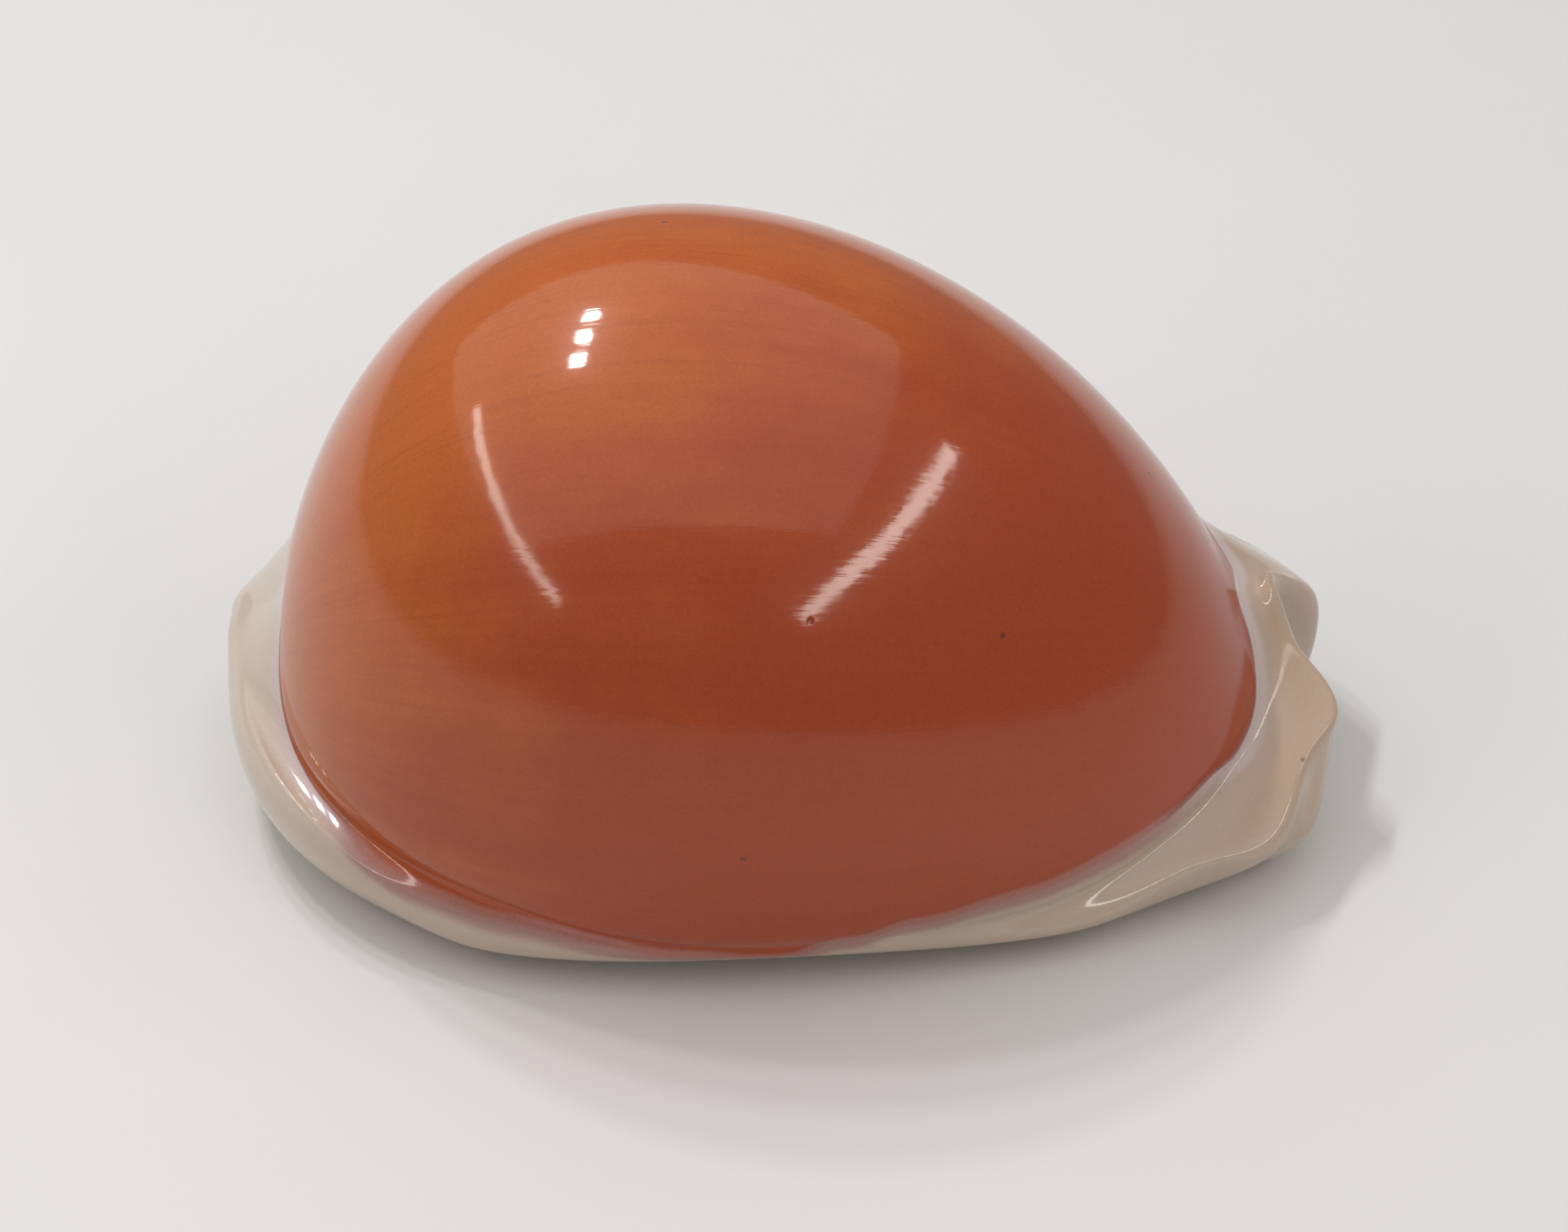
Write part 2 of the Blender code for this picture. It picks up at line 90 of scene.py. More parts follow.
# The slit, in millimetres: its middle line wanders off centre, and it widens to the front.
SLIT_OFFSET = -2.0
SLIT_FRONT_SHIFT = 5.5
SLIT_BACK_SHIFT = 10.0
SLIT_HALF_GAP = 2.55
SLIT_FRONT_WIDENING = 0.7
SLIT_END_ROUNDNESS = 0.30

# Where the heights of the rings begin to change towards the front and the back, along from the middle,
# and how far round an end one side goes over into the other.
MARGIN_CHANGE = (0.42, 0.50)
LIP_CHANGE = (0.30, 0.50)
HOLLOW_CHANGE = (0.20, 0.20)
SIDE_CHANGE = 0.25
END_TURN = 0.10

# The canals at both ends, and the lobes beside the front one: where they lie and how far they reach, as
# shares of the way along a side from the front to the back.
FRONT_CANAL_REACH = 0.050
BACK_CANAL_REACH = 0.034
LOBE_PLACE = 0.147
LOBE_REACH = 0.038
OUTER_LOBE_SWELL = 0.046
INNER_LOBE_SWELL = 0.009
SKIRT_REACH = 0.11
SKIRT_OUTSET = 0.045
BACK_SWELL_PLACE = 0.89
BACK_SWELL_REACH = 0.125
BACK_SWELL = 0.067
SHOULDER_PLACE = 0.225
SHOULDER_REACH = 0.073
SHOULDER_RISE = 2.5

# Over both canals the crease and the gutter run on as saddles, which reach farther on the inner side.
FRONT_SADDLE_REACH = (0.052, 0.105)
BACK_SADDLE_REACH = (0.045, 0.100)

# Where the crease and the gutter climb up the dome, in millimetres, and how much of that there is on the
# side of the outer lip: beside the front canal, over the buried spire at the back, and along the flank.
Climb = namedtuple("Climb", "share reach crease gutter outer")
CLIMBS = (
    Climb(0.12, 0.060, 6.0, 1.8, 0.0),
    Climb(0.91, 0.075, 9.0, 3.0, 0.0),
    Climb(0.70, 0.075, 2.3, 1.2, 1.0),
)

# How much fuller than an ellipse the margin's outline is, half way from its middle to its ends.
MARGIN_FULLNESS = 0.106

# The margin and the hollow follow the slit's wandering only at their ends: a higher power, later.
MARGIN_FOLLOWS = 8
HOLLOW_FOLLOWS = 4

# Rings are drawn in millimetres. even: how evenly its stations are spaced, 0 as on the dome, 1 as the
# teeth. front, back: how far it reaches. outer, inner: half widths on the side of the outer lip and on
# the inner side. z_...: heights. x_canals, z_canals: its places and heights in the middles of the front
# and the back canal. swell, follow: how much it shares in the lobes and in the wandering of the slit.
Crease = namedtuple("Crease", "z_outer z_inner z_front_outer z_front_inner z_back z_canals")
Margin = namedtuple(
    "Margin", "even front back outer inner x_canals swell follow " + " ".join(Crease._fields)
)
CREASE = Crease(6.2, 7.6, 9.4, 11.3, 10.8, (15.0, 20.0))
GUTTER = Margin(
    0.00, 44.0, -44.4, 30.7, 30.9, (41.2, -44.6), 0.5, 0.6, 5.0, 6.4, 9.3, 12.0, 10.6, (17.4, 13.0),
)
CREST = Margin(
    0.05, 48.4, -43.9, 29.2, 30.3, (41.7, -46.4), 1.0, 1.0, 3.8, 5.2, 11.7, 12.6, 11.6, (18.6, 12.4),
)
EDGE = Margin(
    0.10, 49.7, -45.7, 28.1, 29.4, (42.9, -47.9), 1.0, 1.0, 2.8, 4.0, 10.0, 9.0, 9.6, (17.3, 10.6),
)
UNDER = Margin(
    0.25, 50.0, -45.4, 26.5, 28.0, (42.6, -47.2), 1.0, 1.0, 1.9, 2.6, 4.2, 4.6, 4.8, (15.4, 8.0),
)
HEEL = Margin(
    0.45, 48.0, -43.0, 24.1, 25.4, (41.8, -45.4), 1.0, 1.0, 0.8, 1.1, 0.9, 1.2, 1.3, (13.8, 6.6),
)
SOLE = Margin(
    0.70, 46.2, -41.0, 16.8, 18.5, (40.6, -43.6), 1.0, 1.0, -0.5, -0.5, 0.3, 0.4, 0.4, (12.8, 6.0),
)
MARGINS = (GUTTER, CREST, EDGE, UNDER, HEEL, SOLE)

# Forms of the margin at its ends: on which side, where and how far along it, and how far the gutter, the
# crest, the edge, the ring under it and the heel go outwards and upwards there, in millimetres.
Form = namedtuple("Form", "side share reach outwards upwards")
FORMS = (
    Form(-1.0, 0.042, 0.020, (0.0, -1.1, -1.1, 0.0, 0.0), (0.0, -0.2, -0.3, 0.0, 0.0)),
    Form(-1.0, 0.086, 0.028, (0.0, 1.9, 0.0, 0.0, 0.0), (0.8, -0.7, -0.4, 0.0, 0.0)),
    Form(-1.0, 0.146, 0.034, (0.5, -1.0, -2.3, 0.6, 0.2), (0.3, -1.2, -2.0, 0.0, 0.0)),
    Form(-1.0, 0.200, 0.040, (1.4, 2.4, 2.5, 0.5, 0.0), (-0.7, -2.0, -2.2, -0.3, 0.0)),
    Form(1.0, 0.070, 0.032, (0.0, 0.4, 0.3, -0.1, 1.5), (0.0, 0.0, 0.0, -1.0, -0.6)),
    Form(1.0, 0.890, 0.050, (-1.0, -0.8, -0.8, -0.3, 0.0), (0.0, -0.3, -0.3, 0.0, 0.0)),
)

# away: distance from the edge of the slit at its middle, less towards its ends.
Lip = namedtuple("Lip", "even front back away z_side z_front z_back x_canals z_canals")
INSTEP = Lip(0.90, 44.6, -41.4, 7.0, 0.1, 0.4, 0.6, (39.4, -42.0), (12.1, 5.7))
VERGE = Lip(1.00, 44.4, -41.2, 3.2, 0.5, 0.8, 1.0, (38.2, -40.6), (11.7, 5.6))
BROW = Lip(1.00, 44.0, -41.0, 0.9, 1.5, 1.8, 2.0, (37.0, -39.2), (11.6, 5.7))
THROAT = Lip(1.00, 43.4, -40.8, 0.1, 3.6, 3.8, 3.8, (35.8, -37.8), (11.8, 6.2))
BRINK = Lip(1.00, 42.4, -40.2, 0.3, 6.0, 6.2, 5.8, (34.4, -36.4), (12.4, 7.2))
LIPS = (INSTEP, VERGE, BROW, THROAT, BRINK)

# The floor of the hollow climbs on the inner side, over the rolled pillar of the earlier whorls.
Hollow = namedtuple("Hollow", "even front back outer inner z_outer z_inner z_front z_back")
HOLLOWS = (
    Hollow(0.90, 33.6, -35.6, 7.0, 8.0, 8.0, 10.5, 13.0, 8.8),
    Hollow(0.60, 33.2, -36.0, 16.0, 16.0, 7.8, 14.0, 14.2, 9.9),
    Hollow(0.30, 35.0, -38.0, 25.6, 24.6, 9.5, 13.0, 12.4, 11.0),
    Hollow(0.10, 36.4, -39.0, 29.4, 29.2, 14.5, 16.0, 13.6, 14.0),
)


def ramp(t):
    """Rise from 0 to 1 with no kink at either end."""
    t = np.clip(t, 0.0, 1.0)
    return t ** 3 * (t * (6.0 * t - 15.0) + 10.0)


def even_stations(share):
    """Share of the way along the slit for a share of the way round: even but for the round ends."""
    turn = END_TURN
    arc = 2.0 * turn / np.pi
    start = arc * (1.0 - np.cos(0.5 * np.pi * np.clip(share / turn, 0.0, 1.0)))
    middle = np.clip(share, turn, 1.0 - turn) - turn
    end = arc * np.cos(0.5 * np.pi * np.clip((1.0 - share) / turn, 0.0, 1.0))
    return (start + middle + end) / (2.0 * arc + 1.0 - 2.0 * turn)


def half_width(along):
    """Half width of a round outline of radius 1, at a place along it from -1 to 1."""
    return np.sqrt(np.clip(1.0 - along ** 2, 0.0, None))


def slit_line(along):
    """Sideways place of the middle of the slit."""
    front = SLIT_FRONT_SHIFT * np.clip(along, 0.0, 1.0) ** 3
    back = SLIT_BACK_SHIFT * np.clip(-along, 0.0, 1.0) ** 3
    return SLIT_OFFSET + front + back


def towards_ends(along, side, front, back, change):
    """A value along the sides that changes smoothly to other values at the two ends."""
    to_front = ramp((along - change[0]) / (1.0 - change[0]))
    to_back = ramp((-along - change[1]) / (1.0 - change[1]))
    return side + (front - side) * to_front + (back - side) * to_back


class Columns:
    """What every ring needs to know about the columns that it is drawn in."""

    def __init__(self, angle):
        self.angle = angle
        self.share = np.where(angle <= np.pi, angle / np.pi, 2.0 - angle / np.pi)
        self.hand = np.where(np.sin(angle) >= 0.0, 1.0, -1.0)
        self.inner = 0.5 + 0.5 * np.tanh(np.sin(angle) / SIDE_CHANGE)
        self.front_canal = np.exp(-(self.share / FRONT_CANAL_REACH) ** 2)
        self.back_canal = np.exp(-((1.0 - self.share) / BACK_CANAL_REACH) ** 2)
        lobe = np.exp(-((self.share - LOBE_PLACE) / LOBE_REACH) ** 2)
        back = np.exp(-((self.share - BACK_SWELL_PLACE) / BACK_SWELL_REACH) ** 2)
        self.swell = self.sides(OUTER_LOBE_SWELL, INNER_LOBE_SWELL) * lobe + BACK_SWELL * back
        shoulder = np.exp(-((self.share - SHOULDER_PLACE) / SHOULDER_REACH) ** 2)
        self.shoulder = SHOULDER_RISE * self.inner * shoulder
        self.skirt = np.exp(-(self.share / SKIRT_REACH) ** 2)
        front_saddle = np.exp(-(self.share / self.sides(*FRONT_SADDLE_REACH)) ** 2)
        back_saddle = np.exp(-((1.0 - self.share) / self.sides(*BACK_SADDLE_REACH)) ** 2)
        self.saddles = (front_saddle, back_saddle)
        outward = np.stack([np.cos(angle) * DOME_HALF_WIDTH, np.sin(angle) * DOME_HALF_LENGTH], axis=-1)
        self.outward = outward / np.linalg.norm(outward, axis=-1, keepdims=True)

    def along(self, even):
        """Place along the shell from -1 to 1, spaced as on the dome or as evenly as the teeth."""
        return (1.0 - even) * np.cos(self.angle) + even * (1.0 - 2.0 * even_stations(self.share))

    def across(self, along, outer, inner):
        """Sideways place on a ring with these half widths, narrower to the front."""
        return self.hand * half_width(along) * self.sides(outer, inner) * (1.0 - FRONT_NARROWING * along)

    def sides(self, outer, inner):
        """One value on the side of the outer lip and another on the inner side."""
        return outer + (inner - outer) * self.inner

    def into_canals(self, value, places, pulls=None):
        """Pull a ring's places or heights to the ones in the middles of the two canals."""
        for place, pull in zip(places, pulls or (self.front_canal, self.back_canal)):
            value = value + (place - value[pull.argmax()]) * pull
        return value


def ball_waist(along):
    """Height of the middle of the ball's cross section, at a place along it."""
    return DOME_WAIST_HEIGHT - FRONT_WAIST_DROP * along - ENDS_WAIST_DROP * along ** 2


def ball_rise(along):
    """How far the ball rises above its waist."""
    return DOME_RISE * (1.0 - FRONT_FALL * along + END_FULLNESS * along ** 2)


def ball(polar, columns, size=(1.0, 1.0, 1.0)):
    """Ring of the ball, polar being the angle from its top."""
    along = np.sin(polar) * np.cos(columns.angle)
    across = np.sin(polar) * np.sin(columns.angle)
    x = DOME_MIDDLE + size[0] * DOME_HALF_LENGTH * along
    y = size[1] * DOME_HALF_WIDTH * across * (1.0 - FRONT_NARROWING * along)
    z = ball_waist(along) + size[2] * ball_rise(along) * np.cos(polar)
    return np.stack([x, y, z], axis=-1)


def heights(ring, columns, along):
    """Heights of the crease or of a ring of the margin."""
    z_side = columns.sides(ring.z_outer, ring.z_inner)
    z_front = columns.sides(ring.z_front_outer, ring.z_front_inner)
    z = towards_ends(along, z_side, z_front, ring.z_back, MARGIN_CHANGE)
    if ring not in (CREASE, GUTTER):
        return columns.into_canals(z, ring.z_canals)
    for climb in CLIMBS:
        near = np.exp(-((columns.share - climb.share) / climb.reach) ** 2)
        rise = climb.crease if ring is CREASE else climb.gutter
        z = z + rise * near * columns.sides(climb.outer, 1.0)
    return columns.into_canals(z, ring.z_canals, columns.saddles)


def dome_foot(columns):
    """Angle from the top at which the ball comes down to the crease."""
    along = np.cos(columns.angle)
    height = heights(CREASE, columns, along) + FOOT_CLEARANCE
    return np.arccos((height - ball_waist(along)) / ball_rise(along))


def crease_ring(columns):
    """The crease follows the foot of the dome, drawn in a little."""
    ring = ball(dome_foot(columns), columns)
    inset = CREASE_INSET + SKIRT_OUTSET * columns.skirt
    ring[:, 0] = DOME_MIDDLE + inset * (ring[:, 0] - DOME_MIDDLE)
    ring[:, 1] = inset * ring[:, 1]
    ring[:, 2] = ring[:, 2] - FOOT_CLEARANCE
    return ring


def margin_ring(ring, columns):
    along = columns.along(ring.even)
    swell = 1.0 + ring.swell * columns.swell
    x = 0.5 * (ring.front + ring.back) + 0.5 * (ring.front - ring.back) * along * swell
    fullness = 1.0 + ring.swell * MARGIN_FULLNESS * 4.0 * along ** 2 * (1.0 - along ** 2)
    y = columns.across(along, ring.outer, ring.inner) * swell * fullness
    y = y + ring.follow * slit_line(along) * along ** MARGIN_FOLLOWS
    z = heights(ring, columns, along) + ring.swell * columns.shoulder
    return add_forms(ring, columns, np.stack([columns.into_canals(x, ring.x_canals), y, z], axis=-1))


def add_forms(ring, columns, points):
    """Move a ring of the margin outwards and upwards where the forms at the ends are."""
    number = MARGINS.index(ring)
    for form in FORMS:
        if number < len(form.outwards):
            near = np.exp(-((columns.share - form.share) / form.reach) ** 2) * (columns.hand == form.side)
            points[:, :2] += form.outwards[number] * near[:, None] * columns.outward
            points[:, 2] += form.upwards[number] * near
    return points


def lip_ring(ring, columns):
    along = columns.along(ring.even)
    x = 0.5 * (ring.front + ring.back) + 0.5 * (ring.front - ring.back) * along
    gap = SLIT_HALF_GAP + SLIT_FRONT_WIDENING * ramp(along) + ring.away * half_width(along)
    rounding = np.tanh(half_width(along) / SLIT_END_ROUNDNESS) / np.tanh(1.0 / SLIT_END_ROUNDNESS)
    y = slit_line(along) + columns.hand * gap * rounding
    z = towards_ends(along, ring.z_side, ring.z_front, ring.z_back, LIP_CHANGE)
    z = columns.into_canals(z, ring.z_canals)
    return np.stack([columns.into_canals(x, ring.x_canals), y, z], axis=-1)


def hollow_ring(ring, columns):
    along = columns.along(ring.even)
    x = 0.5 * (ring.front + ring.back) + 0.5 * (ring.front - ring.back) * along
    y = columns.across(along, ring.outer, ring.inner) + slit_line(along) * along ** HOLLOW_FOLLOWS
    z_side = columns.sides(ring.z_outer, ring.z_inner)
    z = towards_ends(along, z_side, ring.z_front, ring.z_back, HOLLOW_CHANGE)
    return np.stack([x, y, z], axis=-1)


def guide_rings(columns):
    """All rings, from one step beyond the top of the dome to one step beyond the roof of the hollow."""
    step = dome_foot(columns) / DOME_STEPS
    # The smooth curve runs inside the rings that guide it, so the ball's rings are drawn that much larger.
    keep_size = 6.0 / (4.0 + 2.0 * np.cos(step))
    rings = [ball(step * i, columns, (keep_size,) * 3) for i in range(-1, DOME_STEPS + 1)]
    rings += [crease_ring(columns)]
    rings += [margin_ring(ring, columns) for ring in MARGINS]
    rings += [lip_ring(ring, columns) for ring in LIPS]
    rings += [hollow_ring(ring, columns) for ring in HOLLOWS]
    rings += [ball(VAULT_STEP * i, columns, VAULT_SIZE) for i in range(VAULT_STEPS, -2, -1)]
    return np.array(rings)


def roof_place(rings):
    """Place of the roof of the hollow, counted in rings from the top of the dome."""
    return len(rings) - 3


def on_curve(rings, place):
    """Point of the smooth curve that follows the rings of each column, at a place counted in rings."""
    first = min(int(place), len(rings) - 4)
    t = place - first
    weights = (
        (1.0 - t) ** 3 / 6.0,
        (3.0 * t ** 3 - 6.0 * t ** 2 + 4.0) / 6.0,
        (1.0 + 3.0 * t + 3.0 * t ** 2 - 3.0 * t ** 3) / 6.0,
        t ** 3 / 6.0,
    )
    return sum(weight * ring for weight, ring in zip(weights, rings[first:first + 4]))


# Near both poles the shell is exactly the ball: up to which place from the pole, and how many rings it
# takes from there to go over into the smooth curve.
DOME_IS_BALL = (3.5, 3.5)
VAULT_IS_BALL = (1.0, 2.5)


def shell_row(rings, place, columns):
    """One row of the shell: exactly the ball near both poles, and the smooth curve between them."""
    row = on_curve(rings, place)
    roof = roof_place(rings)
    outside = 1.0 - ramp((place - DOME_IS_BALL[0]) / DOME_IS_BALL[1])
    inside = 1.0 - ramp((roof - place - VAULT_IS_BALL[0]) / VAULT_IS_BALL[1])
    if outside > 0.0:
        row = row + outside * (ball(dome_foot(columns) * place / DOME_STEPS, columns) - row)
    if inside > 0.0:
        row = row + inside * (ball(VAULT_STEP * (roof - place), columns, VAULT_SIZE) - row)
    return row


# Stretches of the shell from the top of the dome to the roof of the hollow: where each ends, counted in
# rings, how many rows it has, and whether its rows are the finely divided ones.
Stretch = namedtuple("Stretch", "name end rows fine")
STRETCHES = (
    Stretch("dome", 7.0, 46, False),
    Stretch("foot", 9.4, 16, False),
    Stretch("margin", 12.0, 22, False),
    Stretch("base", 15.6, 18, False),
    Stretch("lips", 20.6, 34, True),
    Stretch("throat", 24.0, 12, False),
    Stretch("roof", 29.5, 16, False),
)
FIRST_PLACE = 0.15


def place_of(ring):
    """Place of a ring of the margin or of the lips, counted in rings from the top of the dome."""
    return CREASE_PLACE + 1.0 + (MARGINS + LIPS).index(ring)


def column_angles():
    unit = np.arange(COLUMN_COUNT) / COLUMNS_PER_TOOTH
    inner = np.pi * unit / INNER_UNITS
    outer = np.pi * (1.0 + (unit - INNER_UNITS) / OUTER_UNITS)
    return np.where(unit <= INNER_UNITS, inner, outer)


def column_units():
    """Each column's place counted in teeth, from 0 at the front of each lip, and how far it is from the
    nearer smooth end of that lip."""
    unit = np.arange(COLUMN_COUNT) / COLUMNS_PER_TOOTH
    on_inner = unit < INNER_UNITS
    last = np.where(on_inner, INNER_UNITS, OUTER_UNITS)
    unit = np.where(on_inner, unit, unit - INNER_UNITS)
    from_end = np.minimum(unit, last - unit) - 0.5 * SMOOTH_UNITS
    return unit, from_end


# How far beyond the crease the orange glaze ends, in millimetres, along each side from the front to the
# back: (how far along, how far beyond).
GLAZE_ENDS = (
    (0.00, -1.3), (0.05, -0.7), (0.12, -0.6), (0.21, -2.3), (0.30, -3.1), (0.36, -2.9), (0.42, -2.0),
    (0.46, -0.5), (0.50, 1.4), (0.56, 0.9), (0.63, 0.25), (0.70, 0.9), (0.76, 1.2), (0.82, 0.2),
    (0.90, 0.1), (1.00, 0.4),
)


def glaze_edge(columns):
    """How far beyond the crease the orange of the dome ends, in millimetres, round the shell."""
    share = columns.share
    edge = np.zeros_like(share)
    for (start, first), (end, last) in zip(GLAZE_ENDS, GLAZE_ENDS[1:]):
        inside = (share >= start) & (share <= end)
        edge = np.where(inside, first + (last - first) * ramp((share - start) / (end - start)), edge)
    return edge


def row_plan():
    """Place of every row, and whether it is finely divided."""
    plan = []
    start = FIRST_PLACE
    for stretch in STRETCHES:
        steps = np.linspace(start, stretch.end, stretch.rows, endpoint=False)
        plan += [(float(place), stretch.fine) for place in steps]
        start = stretch.end
    return plan


def bridge(faces, upper, lower):
    """Faces between two rows, given as column to vertex, that may have different columns."""
    above = sorted(upper)
    below = sorted(lower)
    if len(above) == len(below):
        for here, there in zip(above, above[1:] + above[:1]):
            faces.append((upper[here], lower[here], lower[there], upper[there]))
        return
    fine, coarse = (below, above) if len(below) > len(above) else (above, below)
    ratio = len(fine) // len(coarse)
    for number, here in enumerate(coarse):
        there = coarse[(number + 1) % len(coarse)]
        run = [fine[(number * ratio + k) % len(fine)] for k in range(ratio + 1)]
        if fine is below:
            faces.append((upper[here],) + tuple(lower[c] for c in run) + (upper[there],))
        else:
            faces.append((lower[here], lower[there]) + tuple(upper[c] for c in reversed(run)))


def close_pole(faces, pole, row, outward_down):
    order = sorted(row)
    for here, there in zip(order, order[1:] + order[:1]):
        corners = (pole, row[here], row[there])
        faces.append(corners if outward_down else corners[::-1])


def shell_faces(index_rows, top, roof):
    """All faces: between the rows, and round the points at the top of the dome and the roof of the hollow."""
    faces = []
    for upper, lower in zip(index_rows, index_rows[1:]):
        bridge(faces, upper, lower)
    close_pole(faces, top, index_rows[0], True)
    close_pole(faces, roof, index_rows[-1], False)
    return faces


def into_box(points):
    """Bring points drawn in millimetres into the shell's box. What rests on the floor is flat."""
    points = np.array(points)
    points[:, 2] = np.maximum(points[:, 2], 0.0)
    low = points.min(axis=0)
    high = points.max(axis=0)
    scale = (np.array(SHELL_HIGH) - np.array(SHELL_LOW)) / (high - low)
    return np.array(SHELL_LOW) + (points - low) * scale


def draw_shell():
    """The shell's smooth body as a mesh, with what its finish and its teeth need written on every point."""
    columns = Columns(column_angles())
    rings = guide_rings(columns)
    unit, from_end = column_units()
    every = np.arange(COLUMN_COUNT)
    plain = every[::COLUMNS_PER_TOOTH // PLAIN_COLUMNS_PER_TOOTH]
    plan = row_plan()
    places = np.array([place for place, _ in plan])
    rows = np.array([shell_row(rings, place, columns) for place in places])
    steps = np.linalg.norm(np.diff(rows, axis=0), axis=-1)
    travel = np.vstack([np.zeros(COLUMN_COUNT), np.cumsum(steps, axis=0)])
    at_crease = travel[np.abs(places - CREASE_PLACE).argmin()]

    # What is written on the points of each row, and on the one point at either pole.
    facts = {
        "place": np.repeat(places[:, None], COLUMN_COUNT, axis=1),
        "from_edge": travel - at_crease - glaze_edge(columns),
        "tooth_unit": np.tile(unit, (len(plan), 1)),
        "tooth_room": np.tile(from_end, (len(plan), 1)),
        "share": np.tile(columns.share, (len(plan), 1)),
        "inner_side": np.tile(columns.inner, (len(plan), 1)),
    }
    written = {name: [] for name in facts}
    points = []
    index_rows = []
    for number, (_, fine) in enumerate(plan):
        chosen = every if fine else plain
        index_rows.append({int(c): len(points) + k for k, c in enumerate(chosen)})
        points.extend(rows[number][chosen])
        for name, grid in facts.items():
            written[name].extend(grid[number][chosen])
    for place, number in ((0.0, 0), (float(roof_place(rings)), len(plan) - 1)):
        points.append(shell_row(rings, place, columns).mean(axis=0))
        for name, grid in facts.items():
            written[name].append(place if name == "place" else grid[number].mean())

    mesh = bpy.data.meshes.new("shell_body")
    faces = shell_faces(index_rows, len(points) - 2, len(points) - 1)
    mesh.from_pydata(into_box(points).tolist(), [], faces)
    for name, values in written.items():
        attribute = mesh.attributes.new(name, "FLOAT", "POINT")
        attribute.data.foreach_set("value", np.array(values, np.float32))
    mesh.shade_smooth()
    mesh.update()
    return mesh


# --- Node trees ---

def feed(tree, socket, value):
    """Give an input its value: another node's output, or a plain number, colour or name."""
    if isinstance(value, bpy.types.NodeSocket):
        tree.links.new(value, socket)
    else:
        socket.default_value = value


def math_of(tree, operation, *values):
    """A Math node whose inputs are sockets or plain numbers. Returns its output."""
    node = tree.nodes.new("ShaderNodeMath")
    node.operation = operation
    for socket, value in zip(node.inputs, values):
        feed(tree, socket, value)
    return node.outputs[0]


def soft_step(tree, value, start, end):
    """0 before start and 1 after end, with no kink."""
    node = tree.nodes.new("ShaderNodeMapRange")
    node.interpolation_type = "SMOOTHERSTEP"
    feed(tree, node.inputs["Value"], value)
    feed(tree, node.inputs["From Min"], start)
    feed(tree, node.inputs["From Max"], end)
    return node.outputs["Result"]


def soft_drop(tree, value, start, end):
    """1 before start and 0 after end, with no kink."""
    return math_of(tree, "SUBTRACT", 1.0, soft_step(tree, value, start, end))


def band(tree, value, middle, reach):
    """1 at the middle of a stretch and 0 beyond its reach."""
    away = math_of(tree, "ABSOLUTE", math_of(tree, "SUBTRACT", value, middle))
    return soft_drop(tree, away, 0.0, reach)


# --- Teeth, raised along both lips by Geometry Nodes ---

# How high the teeth are, in metres, and how narrow, where they start and end and over how much of that
# they fade, counted in rings, and how uneven they are.
TOOTH_HEIGHT = 0.00042
RIDGE_NARROWNESS = 1.5
LIP_START = place_of(INSTEP)
LIP_END = place_of(BRINK) + 0.4
TEETH_FADE = 1.0
TEETH_UNEVENNESS = 0.22
TEETH_SEED = 7
# Added to the numbers of the teeth of the inner lip, so that both lips are uneven in their own way.
INNER_LIP_NUMBERS = 100.0
# Over which stretch, counted in teeth, the teeth rise from the smooth ends of the slit.
FIRST_TOOTH_RISE = (-0.5, 0.7)
# How much of a tooth's unevenness goes into its height.
HEIGHT_UNEVENNESS = 0.5


def named_fact(tree, name):
    """One of the numbers that draw_shell writes on every point."""
    node = tree.nodes.new("GeometryNodeInputNamedAttribute")
    node.data_type = "FLOAT"
    node.inputs["Name"].default_value = name
    return node.outputs["Attribute"]


def tooth_luck(tree, given, unit):
    """How uneven the nearest tooth is: a number drawn for each tooth, as likely above 0 as below."""
    on_inner = math_of(tree, "ROUND", named_fact(tree, "inner_side"))
    tooth = math_of(tree, "FLOOR", math_of(tree, "ADD", unit, 0.5))
    tooth = math_of(tree, "ADD", tooth, math_of(tree, "MULTIPLY", on_inner, INNER_LIP_NUMBERS))
    chance = tree.nodes.new("FunctionNodeRandomValue")
    chance.data_type = "FLOAT"
    lowest, highest = [socket for socket in chance.inputs if socket.enabled and socket.type == "VALUE"]
    lowest.default_value = -1.0
    highest.default_value = 1.0
    tree.links.new(tooth, chance.inputs["ID"])
    tree.links.new(given["Seed"], chance.inputs["Seed"])
    drawn = [socket for socket in chance.outputs if socket.enabled][0]
    return math_of(tree, "MULTIPLY", drawn, given["Unevenness"])


def tooth_shape(tree, given):
    """Ridges and grooves from 1 to -1, one ridge at every whole tooth_unit, faded out at their ends."""
    place = named_fact(tree, "place")
    unit = named_fact(tree, "tooth_unit")
    luck = tooth_luck(tree, given, unit)
    wave = math_of(tree, "ABSOLUTE", math_of(tree, "SINE", math_of(tree, "MULTIPLY", unit, math.pi)))
    ridge = math_of(tree, "POWER", wave, given["Ridge Narrowness"])
    ridge = math_of(tree, "MULTIPLY_ADD", ridge, -2.0, 1.0)
    start = math_of(tree, "ADD", given["Lip Start"], luck)
    rise = soft_step(tree, place, start, math_of(tree, "ADD", start, given["Fade"]))
    fade_start = math_of(tree, "SUBTRACT", given["Lip End"], given["Fade"])
    fall = soft_drop(tree, place, fade_start, given["Lip End"])
    room = soft_step(tree, named_fact(tree, "tooth_room"), *FIRST_TOOTH_RISE)
    size = math_of(tree, "MULTIPLY_ADD", luck, HEIGHT_UNEVENNESS, 1.0)
    shape = ridge
    for part in (rise, fall, room, size):
        shape = math_of(tree, "MULTIPLY", shape, part)
    return shape


